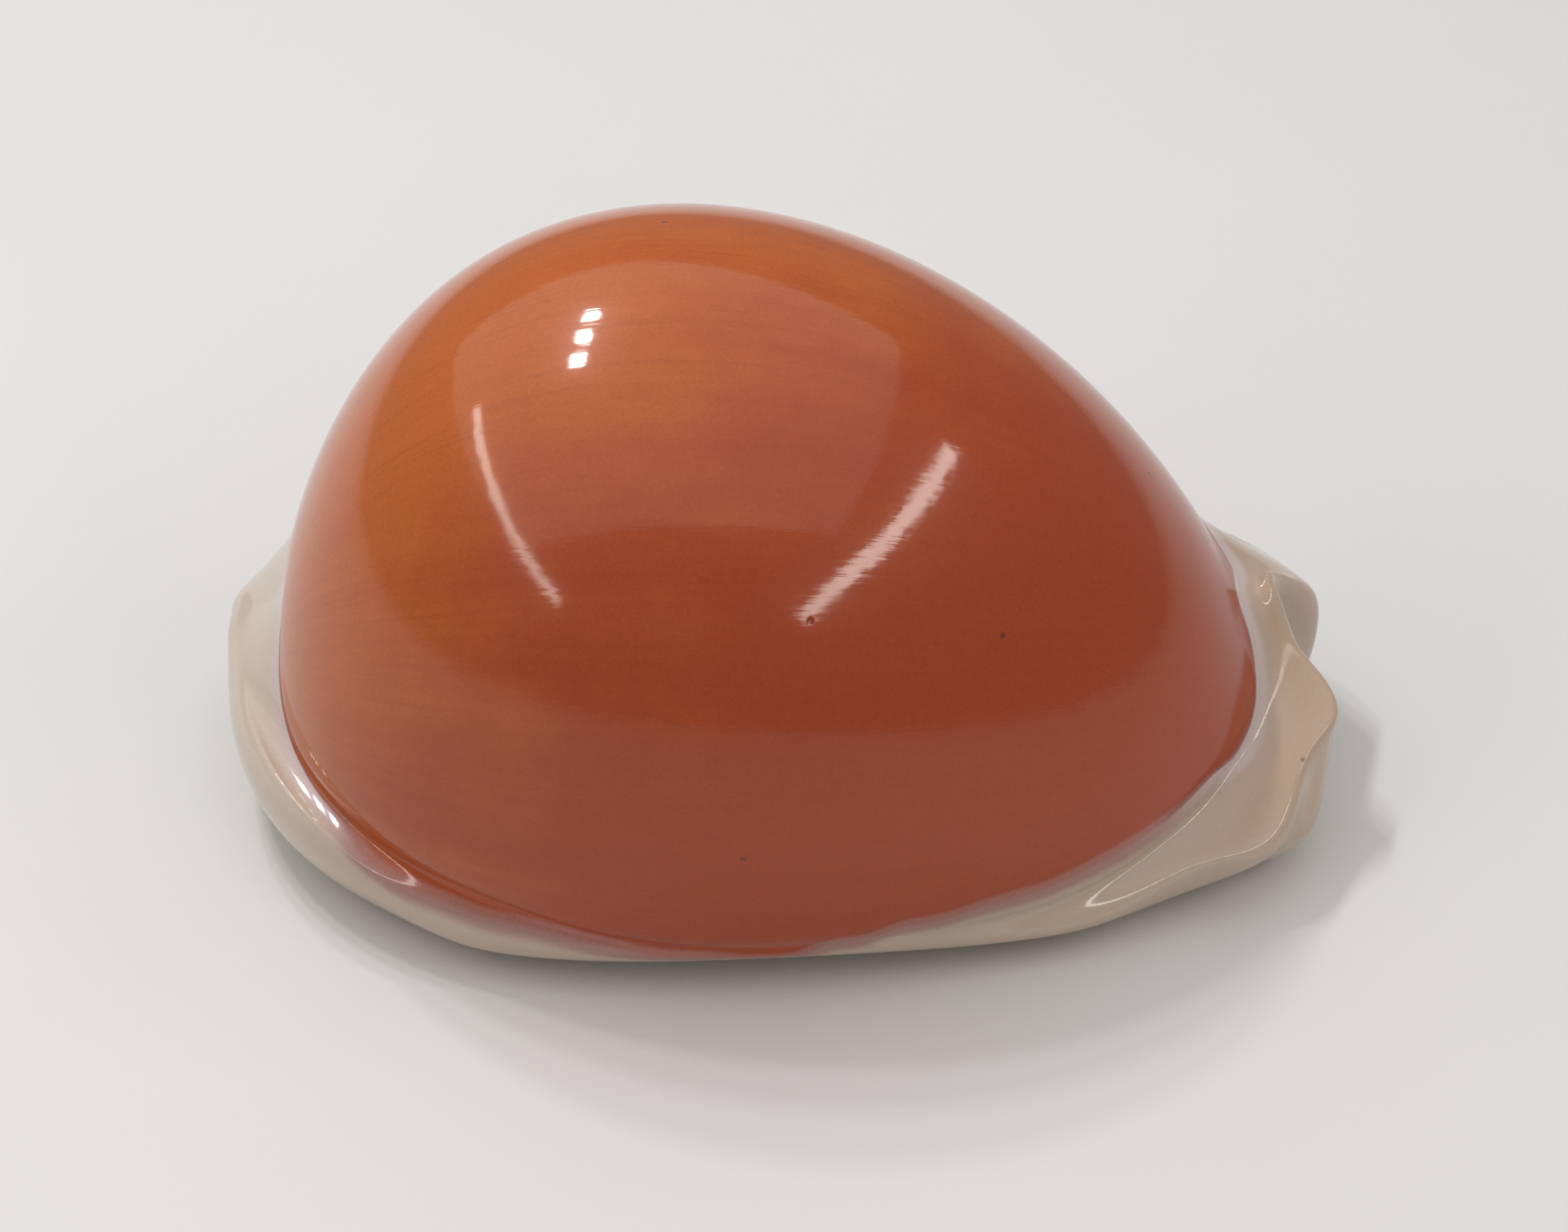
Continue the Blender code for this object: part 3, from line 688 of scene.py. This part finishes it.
def teeth_tree():
    """Teeth that follow both lips: every point is moved along its normal by the shape of the teeth."""
    tree = bpy.data.node_groups.new("raise_teeth", "GeometryNodeTree")
    face = tree.interface
    face.new_socket("Geometry", in_out="INPUT", socket_type="NodeSocketGeometry")
    sizes = (
        ("Tooth Height", TOOTH_HEIGHT), ("Ridge Narrowness", RIDGE_NARROWNESS), ("Lip Start", LIP_START),
        ("Lip End", LIP_END), ("Fade", TEETH_FADE), ("Unevenness", TEETH_UNEVENNESS),
    )
    for name, value in sizes:
        face.new_socket(name, in_out="INPUT", socket_type="NodeSocketFloat").default_value = value
    face.new_socket("Seed", in_out="INPUT", socket_type="NodeSocketInt").default_value = TEETH_SEED
    face.new_socket("Glaze", in_out="INPUT", socket_type="NodeSocketMaterial")
    face.new_socket("Geometry", in_out="OUTPUT", socket_type="NodeSocketGeometry")
    given = tree.nodes.new("NodeGroupInput").outputs
    result = tree.nodes.new("NodeGroupOutput").inputs

    relief = tooth_shape(tree, given)
    keep = tree.nodes.new("GeometryNodeStoreNamedAttribute")
    keep.data_type = "FLOAT"
    keep.domain = "POINT"
    keep.inputs["Name"].default_value = "tooth_relief"
    tree.links.new(given["Geometry"], keep.inputs["Geometry"])
    tree.links.new(relief, keep.inputs["Value"])
    normal = tree.nodes.new("GeometryNodeInputNormal")
    push = tree.nodes.new("ShaderNodeVectorMath")
    push.operation = "SCALE"
    tree.links.new(normal.outputs["Normal"], push.inputs[0])
    tree.links.new(math_of(tree, "MULTIPLY", relief, given["Tooth Height"]), push.inputs["Scale"])
    move = tree.nodes.new("GeometryNodeSetPosition")
    tree.links.new(keep.outputs["Geometry"], move.inputs["Geometry"])
    tree.links.new(push.outputs[0], move.inputs["Offset"])
    real = tree.nodes.new("GeometryNodeRealizeInstances")
    tree.links.new(move.outputs["Geometry"], real.inputs["Geometry"])
    dress = tree.nodes.new("GeometryNodeSetMaterial")
    tree.links.new(real.outputs["Geometry"], dress.inputs["Geometry"])
    tree.links.new(given["Glaze"], dress.inputs["Material"])
    tree.links.new(dress.outputs["Geometry"], result["Geometry"])
    return tree


def with_teeth(mesh, material):
    """The finished shell: the body with its teeth raised, baked to a plain mesh inside the shell's box."""
    rough = bpy.data.objects.new("shell_rough", mesh)
    bpy.context.scene.collection.objects.link(rough)
    modifier = rough.modifiers.new("teeth", "NODES")
    modifier.node_group = teeth_tree()
    for item in modifier.node_group.interface.items_tree:
        if item.name == "Glaze":
            modifier[item.identifier] = material
    bpy.context.view_layer.update()
    ready = rough.evaluated_get(bpy.context.evaluated_depsgraph_get())
    baked = bpy.data.meshes.new_from_object(ready)
    rough.modifiers.remove(modifier)
    bpy.data.objects.remove(rough)
    points = np.zeros(len(baked.vertices) * 3, np.float32)
    baked.vertices.foreach_get("co", points)
    low = np.array(SHELL_LOW, np.float32)
    high = np.array(SHELL_HIGH, np.float32)
    baked.vertices.foreach_set("co", np.clip(points.reshape(-1, 3), low, high).ravel())
    baked.name = "cowrie"
    baked.update()
    shell = bpy.data.objects.new("cowrie", baked)
    bpy.context.scene.collection.objects.link(shell)
    return shell


# --- Finishes ---

def new_material(name):
    material = bpy.data.materials.new(name)
    material.use_nodes = True
    return material, material.node_tree, material.node_tree.nodes["Principled BSDF"]


def fact(tree, name):
    """One of the numbers that draw_shell and the teeth write on every point, read by a material."""
    node = tree.nodes.new("ShaderNodeAttribute")
    node.attribute_type = "GEOMETRY"
    node.attribute_name = name
    return node.outputs["Fac"]


def mix_colour(tree, share, first, second):
    """The first colour where share is 0, the second where it is 1."""
    node = tree.nodes.new("ShaderNodeMix")
    node.data_type = "RGBA"
    factor = [socket for socket in node.inputs if socket.name == "Factor" and socket.type == "VALUE"][0]
    colours = [socket for socket in node.inputs if socket.type == "RGBA"]
    feed(tree, factor, share)
    feed(tree, colours[0], first)
    feed(tree, colours[1], second)
    return [socket for socket in node.outputs if socket.type == "RGBA"][0]


def add_pattern(tree, value, pattern, strength):
    """Add a pattern that runs from 0 to 1, taken as 0 at its middle."""
    return math_of(tree, "MULTIPLY_ADD", math_of(tree, "SUBTRACT", pattern, 0.5), strength, value)


def new_group(name, inputs, outputs):
    """A shader node group with named inputs and outputs. Returns it with the inner ends of both."""
    tree = bpy.data.node_groups.new(name, "ShaderNodeTree")
    tree.interface.new_socket("Vector", in_out="INPUT", socket_type="NodeSocketVector")
    for label, value in inputs.items():
        socket = tree.interface.new_socket(label, in_out="INPUT", socket_type="NodeSocketFloat")
        socket.default_value = value
    for label in outputs:
        tree.interface.new_socket(label, in_out="OUTPUT", socket_type="NodeSocketFloat")
    return tree, tree.nodes.new("NodeGroupInput").outputs, tree.nodes.new("NodeGroupOutput").inputs


def use_group(tree, group, values):
    """Place a group in a material with its own values. Returns its outputs."""
    node = tree.nodes.new("ShaderNodeGroup")
    node.node_tree = group
    for label, value in values.items():
        feed(tree, node.inputs[label], value)
    return node.outputs


def noise(tree, vector, scale, detail, roughness):
    node = tree.nodes.new("ShaderNodeTexNoise")
    feed(tree, node.inputs["Vector"], vector)
    feed(tree, node.inputs["Scale"], scale)
    node.inputs["Detail"].default_value = detail
    node.inputs["Roughness"].default_value = roughness
    return node.outputs["Fac"]


# How often the growth lines change round the shell, per radian, and along it, per metre.
GrowthLines = namedtuple("GrowthLines", "label round along")
GROWTH_LINES = (GrowthLines("Bands", 5.0, 9.0), GrowthLines("Lines", 60.0, 60.0))
GROWTH_AXIS_HEIGHT = 0.012


def growth_lines():
    """Lines that run from one end of the shell to the other, as its lip laid them down."""
    sizes = {"Axis Height": GROWTH_AXIS_HEIGHT, **{kind.label: kind.round for kind in GROWTH_LINES}}
    tree, given, result = new_group("growth_lines", sizes, [kind.label for kind in GROWTH_LINES])
    parts = tree.nodes.new("ShaderNodeSeparateXYZ")
    tree.links.new(given["Vector"], parts.inputs[0])
    above = math_of(tree, "SUBTRACT", parts.outputs["Z"], given["Axis Height"])
    turn = math_of(tree, "ARCTAN2", parts.outputs["Y"], above)
    for kind in GROWTH_LINES:
        place = tree.nodes.new("ShaderNodeCombineXYZ")
        tree.links.new(math_of(tree, "MULTIPLY", turn, given[kind.label]), place.inputs[0])
        tree.links.new(math_of(tree, "MULTIPLY", parts.outputs["X"], kind.along), place.inputs[1])
        lines = noise(tree, place.outputs[0], scale=1.0, detail=3.0, roughness=0.6)
        tree.links.new(lines, result[kind.label])
    return tree


def grain():
    """Fine unevenness of a surface: a soft mottling and a much finer speckle, by how many per metre."""
    sizes = {"Mottle Scale": 90.0, "Speckle Scale": 3500.0}
    tree, given, result = new_group("grain", sizes, ("Mottle", "Speckle"))
    mottle = noise(tree, given["Vector"], given["Mottle Scale"], detail=4.0, roughness=0.55)
    speckle = noise(tree, given["Vector"], given["Speckle Scale"], detail=1.0, roughness=0.5)
    tree.links.new(mottle, result["Mottle"])
    tree.links.new(speckle, result["Speckle"])
    return tree


def specks():
    """Small spots thinly scattered over a surface, as a mask that is 1 in the middle of each. There is
    at most one in each cell. Cells is how many of them there are to a metre, Size a spot's reach in
    metres, and Rarity leaves out the spots of that share of the cells."""
    sizes = {"Cells": 150.0, "Size": 0.0004, "Rarity": 0.35}
    tree, given, result = new_group("specks", sizes, ("Mask",))
    node = tree.nodes.new("ShaderNodeTexVoronoi")
    tree.links.new(given["Vector"], node.inputs["Vector"])
    tree.links.new(given["Cells"], node.inputs["Scale"])
    distance = math_of(tree, "DIVIDE", node.outputs["Distance"], given["Cells"])
    spot = soft_drop(tree, distance, 0.0, given["Size"])
    colour = tree.nodes.new("ShaderNodeSeparateColor")
    tree.links.new(node.outputs["Color"], colour.inputs[0])
    chosen = math_of(tree, "GREATER_THAN", colour.outputs[0], given["Rarity"])
    tree.links.new(math_of(tree, "MULTIPLY", spot, chosen), result["Mask"])
    return tree


def bump_from(tree, shader, height, distance):
    node = tree.nodes.new("ShaderNodeBump")
    node.inputs["Strength"].default_value = 1.0
    node.inputs["Distance"].default_value = distance
    tree.links.new(height, node.inputs["Height"])
    tree.links.new(node.outputs["Normal"], shader.inputs["Normal"])


GOLDEN_ORANGE = (0.51, 0.125, 0.028, 1.0)
RED_ORANGE = (0.385, 0.062, 0.019, 1.0)
DEEP_LINE = (0.30, 0.055, 0.018, 1.0)
SPECK_BROWN = (0.10, 0.035, 0.02, 1.0)
MAUVE = (0.41, 0.165, 0.135, 1.0)
PURPLE = (0.30, 0.14, 0.16, 1.0)
# The bluish white next to the orange is the margin's pale colour with a painted reflection on it.
BLUISH_AND_SHEEN = (0.63, 0.51, 0.49, 1.0)
DUSKY = (0.40, 0.225, 0.195, 1.0)
BEIGE = (0.53, 0.395, 0.31, 1.0)
# Tan painted shade for the trough at the front: a darker tan where the surface is hollow.
TROUGH_SHADE_TAN = (0.49, 0.335, 0.22, 1.0)
CREAM = (0.62, 0.51, 0.42, 1.0)
BASE_WHITE = (0.70, 0.64, 0.55, 1.0)
TOOTH_ORANGE = (0.56, 0.17, 0.035, 1.0)
GAP_ORANGE = (0.62, 0.33, 0.14, 1.0)
INSIDE = (0.66, 0.46, 0.38, 1.0)

# How far along the sides, from the front to the back, the front end goes over into the flanks and the
# flanks into the back end.
FRONT_TO_FLANK = (0.15, 0.30)
FLANK_TO_BACK = (0.77, 0.86)

# The orange, from golden at 0 to red at 1: how red it is at the origin, how much redder per metre along
# X, Y and Z, and how much the patterns change it.
REDNESS = 0.72
REDDER_ALONG = {"X": 12.0, "Y": -14.0, "Z": -6.0}
MOTTLE_REDNESS = 0.8
BAND_REDNESS = 0.7
# Which growth lines show as darker streaks, from the faintest to the fullest, and how strong they are.
LINES_SHOWN = (0.45, 0.80)
LINE_STRENGTH = 0.26

# The border of the orange, in millimetres from its edge: how far the edge wanders, how softly it ends at
# both ends and how much more so along the flanks, and where the bluish white beyond it fades, which is
# partly a painted reflection.
EDGE_WANDER = 0.8
END_SOFTNESS = 0.35
FLANK_SOFTNESS = 0.6
BLUISH_SHEEN_FADE = (0.9, 2.4)
# The fringe inside the edge: how far it reaches as a share of the softness, and how strong it is.
FRINGE_REACH = 0.8
FRINGE_STRENGTH = 0.9
# The brown line in the crease at the back: how wide it is to each side, and how strong.
BROWN_LINE_REACH = 0.3
BROWN_LINE_STRENGTH = 0.6

# Where the finish of the margin changes to that of the base, the lips and the inside, counted in rings,
# where the trough lies at the front, which is darkened with painted shade, and how strong that painted
# shade and the beige of the flanks are.
TO_BASE = (place_of(EDGE) + 0.4, place_of(HEEL) + 0.4)
TO_DULL = (place_of(EDGE) + 0.5, place_of(INSTEP))
TO_LIPS = (place_of(INSTEP), place_of(VERGE))
TO_INSIDE = (place_of(BRINK) - 0.4, place_of(BRINK) + 0.6)
TROUGH_MIDDLE = place_of(GUTTER) + 0.5
TROUGH_REACH = 0.9
TROUGH_SHADE_STRENGTH = 0.6
FLANK_BEIGE = 0.6
# From the colour of the gaps between the teeth to that of their ridges, by the shape of the teeth.
GAP_TO_RIDGE = (-0.5, 0.4)

# The finest detail: how dark the specks are, how strong the speckle is on the orange, and how much of
# that is lost on the pale parts.
SPECK_STRENGTH = 0.85
SPECKLE_STRENGTH = 0.28
PALE_SPECKLE_LOSS = 0.16

# The polish: a sharp gloss under a soft one. The gloss is duller where the surface is mottled, and on the
# base and inside. The relief is in metres.
POLISH_ROUGHNESS = 0.04
MOTTLE_ROUGHNESS = 0.08
DULL_ROUGHNESS = 0.12
SHARP_GLOSS = 0.34
SHARP_GLOSS_IOR = 1.53
SOFT_GLOSS = 0.08
MOTTLE_SOFT_GLOSS = 0.2
SOFT_GLOSS_ROUGHNESS = 0.30
SOFT_GLOSS_IOR = 1.5
RELIEF = 0.00005
LINE_RELIEF = 0.15
PIT_DEPTH = 0.6


def dome_colour(tree, spot, lines, mottle):
    """The orange: more golden at the back and on the top, redder to the front and low on the sides."""
    parts = tree.nodes.new("ShaderNodeSeparateXYZ")
    tree.links.new(spot, parts.inputs[0])
    redness = REDNESS
    for axis, more in REDDER_ALONG.items():
        redness = math_of(tree, "MULTIPLY_ADD", parts.outputs[axis], more, redness)
    redness = add_pattern(tree, redness, mottle, MOTTLE_REDNESS)
    redness = add_pattern(tree, redness, lines["Bands"], BAND_REDNESS)
    orange = mix_colour(tree, soft_step(tree, redness, 0.0, 1.0), GOLDEN_ORANGE, RED_ORANGE)
    streak = math_of(tree, "MULTIPLY", soft_step(tree, lines["Lines"], *LINES_SHOWN), LINE_STRENGTH)
    return mix_colour(tree, streak, orange, DEEP_LINE)


def margin_colour(tree, place, edge, at_front, at_flank):
    """Bluish white, the margin's pale colour with a painted reflection on it, or dusky next to the orange,
    then cream, or beige at the front and along the flanks, tan painted shade in the trough at the front,
    and whitish under the base."""
    pale = mix_colour(tree, at_front, CREAM, BEIGE)
    pale = mix_colour(tree, math_of(tree, "MULTIPLY", at_flank, FLANK_BEIGE), pale, BEIGE)
    # Painted shade: the trough at the front is darkened to tan.
    trough = math_of(tree, "MULTIPLY", band(tree, place, TROUGH_MIDDLE, TROUGH_REACH), at_front)
    pale = mix_colour(tree, math_of(tree, "MULTIPLY", trough, TROUGH_SHADE_STRENGTH), pale, TROUGH_SHADE_TAN)
    # Next to the orange: the bluish white, partly painted reflection, or dusky along the flanks.
    near = soft_drop(tree, edge, *BLUISH_SHEEN_FADE)
    pale = mix_colour(tree, near, pale, mix_colour(tree, at_flank, BLUISH_AND_SHEEN, DUSKY))
    return mix_colour(tree, soft_step(tree, place, *TO_BASE), pale, BASE_WHITE)


def shell_glaze(lines_group, grain_group, specks_group):
    """The shell's own polish: orange over the dome, pale round the margin and under the base."""
    material, tree, shader = new_material("shell_glaze")
    spot = tree.nodes.new("ShaderNodeTexCoord").outputs["Object"]
    lines = use_group(tree, lines_group, {"Vector": spot})
    fine = use_group(tree, grain_group, {"Vector": spot})
    speck = use_group(tree, specks_group, {"Vector": spot})["Mask"]
    mottle = fine["Mottle"]
    place = fact(tree, "place")
    share = fact(tree, "share")
    at_front = soft_drop(tree, share, *FRONT_TO_FLANK)
    at_back = soft_step(tree, share, *FLANK_TO_BACK)
    at_flank = math_of(tree, "SUBTRACT", math_of(tree, "SUBTRACT", 1.0, at_front), at_back)

    # Round the edge of the orange: a thin purple line at the front, a soft mauve fringe along the flanks,
    # and a fine brown line in the crease at the back.
    edge = add_pattern(tree, fact(tree, "from_edge"), mottle, EDGE_WANDER)
    softness = math_of(tree, "MULTIPLY_ADD", at_flank, FLANK_SOFTNESS, END_SOFTNESS)
    to_fringe = soft_step(tree, edge, math_of(tree, "MULTIPLY", softness, -FRINGE_REACH), 0.0)
    to_fringe = math_of(tree, "MULTIPLY", to_fringe, FRINGE_STRENGTH)
    to_pale = soft_step(tree, edge, 0.0, softness)
    brown = math_of(tree, "MULTIPLY", band(tree, edge, 0.0, BROWN_LINE_REACH), at_back)
    fringe = mix_colour(tree, at_front, MAUVE, PURPLE)
    colour = mix_colour(tree, to_fringe, dome_colour(tree, spot, lines, mottle), fringe)
    colour = mix_colour(tree, to_pale, colour, margin_colour(tree, place, edge, at_front, at_flank))
    colour = mix_colour(tree, math_of(tree, "MULTIPLY", brown, BROWN_LINE_STRENGTH), colour, DEEP_LINE)

    # The lips: orange ridges, paler between them, and a pinkish cream inside.
    ridges = soft_step(tree, fact(tree, "tooth_relief"), *GAP_TO_RIDGE)
    teeth = mix_colour(tree, ridges, GAP_ORANGE, TOOTH_ORANGE)
    colour = mix_colour(tree, soft_step(tree, place, *TO_LIPS), colour, teeth)
    colour = mix_colour(tree, soft_step(tree, place, *TO_INSIDE), colour, INSIDE)

    # Specks, and a speckle that makes the colour a little lighter and darker.
    colour = mix_colour(tree, math_of(tree, "MULTIPLY", speck, SPECK_STRENGTH), colour, SPECK_BROWN)
    strength = math_of(tree, "MULTIPLY_ADD", to_pale, -PALE_SPECKLE_LOSS, SPECKLE_STRENGTH)
    speckled = tree.nodes.new("ShaderNodeHueSaturation")
    tree.links.new(colour, speckled.inputs["Color"])
    tree.links.new(add_pattern(tree, 1.0, fine["Speckle"], strength), speckled.inputs["Value"])
    tree.links.new(speckled.outputs["Color"], shader.inputs["Base Color"])

    rough = math_of(tree, "MULTIPLY_ADD", mottle, MOTTLE_ROUGHNESS, POLISH_ROUGHNESS)
    rough = math_of(tree, "MULTIPLY_ADD", soft_step(tree, place, *TO_DULL), DULL_ROUGHNESS, rough)
    tree.links.new(rough, shader.inputs["Roughness"])
    soft_gloss = math_of(tree, "MULTIPLY_ADD", mottle, MOTTLE_SOFT_GLOSS, SOFT_GLOSS)
    tree.links.new(soft_gloss, shader.inputs["Coat Weight"])
    shader.inputs["Coat Roughness"].default_value = SOFT_GLOSS_ROUGHNESS
    shader.inputs["Coat IOR"].default_value = SOFT_GLOSS_IOR
    shader.inputs["Specular IOR Level"].default_value = SHARP_GLOSS
    shader.inputs["IOR"].default_value = SHARP_GLOSS_IOR
    height = math_of(tree, "MULTIPLY_ADD", lines["Lines"], LINE_RELIEF, mottle)
    height = math_of(tree, "MULTIPLY_ADD", speck, -PIT_DEPTH, height)
    bump_from(tree, shader, height, RELIEF)
    return material


# --- The studio ---

FLOOR_REACH = 3.0
FLOOR_GREY = (0.71, 0.705, 0.695, 1.0)
FLOOR_PALE = (0.77, 0.765, 0.755, 1.0)
FLOOR_GRAIN = {"Mottle Scale": 12.0, "Speckle Scale": 900.0}
FLOOR_ROUGHNESS = 0.55
SPECKLE_ROUGHNESS = 0.1
FLOOR_RELIEF = 0.00003

VIEW_TARGET = Vector((0.00067, 0.0, 0.01633))
VIEW_ELEVATION = math.radians(37.0)
VIEW_DISTANCE = 0.380
LENS = 103.0
SENSOR_WIDTH = 36.0
NEAREST_SEEN = 0.01

WHITE = (1.0, 1.0, 1.0)
WARM = (1.0, 0.93, 0.85)
ROOM_GREY = (0.50, 0.50, 0.50, 1.0)
ROOM_STRENGTH = 0.36

# Softboxes, all at the same distance from the shell, in metres and watts. Each is seen from the shell
# between two directions. A row is cut into boxes that share its power, with gaps of their length.
Lamp = namedtuple("Lamp", "name first last width power colour")
LAMP_DISTANCE = 0.60
KEY_ROW = Lamp("key", Vector((-0.30, 0.49, 0.81)), Vector((-0.41, 0.17, 0.89)), 0.035, 1.2, WHITE)
KEY_BOXES = 3
SOFTBOXES = (
    Lamp("overhead", Vector((-0.10, 0.80, 0.60)), Vector((-0.12, -0.66, 0.74)), 1.4, 3.6, WHITE),
    Lamp("left", Vector((-0.78, 0.20, 0.58)), Vector((-0.56, -0.74, 0.37)), 0.026, 0.55, WARM),
    Lamp("right", Vector((0.76, 0.17, 0.62)), Vector((0.36, -0.82, 0.44)), 0.030, 0.90, WARM),
)


def floor_finish(grain_group):
    material, tree, shader = new_material("pale_floor")
    spot = tree.nodes.new("ShaderNodeTexCoord").outputs["Object"]
    fine = use_group(tree, grain_group, {"Vector": spot, **FLOOR_GRAIN})
    tree.links.new(mix_colour(tree, fine["Mottle"], FLOOR_GREY, FLOOR_PALE), shader.inputs["Base Color"])
    rough = math_of(tree, "MULTIPLY_ADD", fine["Speckle"], SPECKLE_ROUGHNESS, FLOOR_ROUGHNESS)
    tree.links.new(rough, shader.inputs["Roughness"])
    bump_from(tree, shader, fine["Speckle"], FLOOR_RELIEF)
    return material


def make_floor(finish):
    mesh = bpy.data.meshes.new("floor")
    corners = [(x * FLOOR_REACH, y * FLOOR_REACH, 0.0) for x, y in ((-1, -1), (1, -1), (1, 1), (-1, 1))]
    mesh.from_pydata(corners, [], [(0, 1, 2, 3)])
    mesh.materials.append(finish)
    floor = bpy.data.objects.new("floor", mesh)
    bpy.context.scene.collection.objects.link(floor)


def softbox(lamp):
    """A long softbox that faces the shell."""
    first = lamp.first.normalized()
    last = lamp.last.normalized()
    middle = (first + last).normalized()
    long_axis = (last - first).normalized()
    long_axis = (long_axis - long_axis.dot(middle) * middle).normalized()
    light = bpy.data.lights.new(lamp.name, "AREA")
    light.shape = "RECTANGLE"
    light.size = 2.0 * LAMP_DISTANCE * math.tan(0.5 * first.angle(last))
    light.size_y = lamp.width
    light.energy = lamp.power
    light.color = lamp.colour
    thing = bpy.data.objects.new(lamp.name, light)
    turn = Matrix((long_axis, middle.cross(long_axis), middle)).transposed()
    thing.matrix_world = Matrix.Translation(VIEW_TARGET + LAMP_DISTANCE * middle) @ turn.to_4x4()
    bpy.context.scene.collection.objects.link(thing)


def row_of_softboxes(row, count):
    """Small softboxes in a row, in place of one long one, with gaps as long as the boxes between them."""
    pitch = 2.0 / (2 * count - 1)
    for number in range(count):
        start = row.first.lerp(row.last, number * pitch)
        end = row.first.lerp(row.last, (number + 0.5) * pitch)
        softbox(row._replace(name=f"{row.name}_{number + 1}", first=start, last=end, power=row.power / count))


def make_room():
    """Plain grey light from all round."""
    world = bpy.data.worlds.new("studio")
    world.use_nodes = True
    background = world.node_tree.nodes["Background"]
    background.inputs["Color"].default_value = ROOM_GREY
    background.inputs["Strength"].default_value = ROOM_STRENGTH
    bpy.context.scene.world = world


def make_camera():
    camera = bpy.data.cameras.new("camera")
    camera.lens = LENS
    camera.sensor_width = SENSOR_WIDTH
    camera.clip_start = NEAREST_SEEN
    thing = bpy.data.objects.new("camera", camera)
    back = Vector((0.0, -math.cos(VIEW_ELEVATION), math.sin(VIEW_ELEVATION)))
    thing.location = VIEW_TARGET + VIEW_DISTANCE * back
    thing.rotation_euler = (-back).to_track_quat("-Z", "Y").to_euler()
    bpy.context.scene.collection.objects.link(thing)
    bpy.context.scene.camera = thing


grain_group = grain()
shell = with_teeth(draw_shell(), shell_glaze(growth_lines(), grain_group, specks()))
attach(shell, "root")
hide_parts(SHELL_NODE)
make_floor(floor_finish(grain_group))
make_room()
row_of_softboxes(KEY_ROW, KEY_BOXES)
for lamp in SOFTBOXES:
    softbox(lamp)
make_camera()
bpy.context.scene.view_settings.view_transform = "Standard"
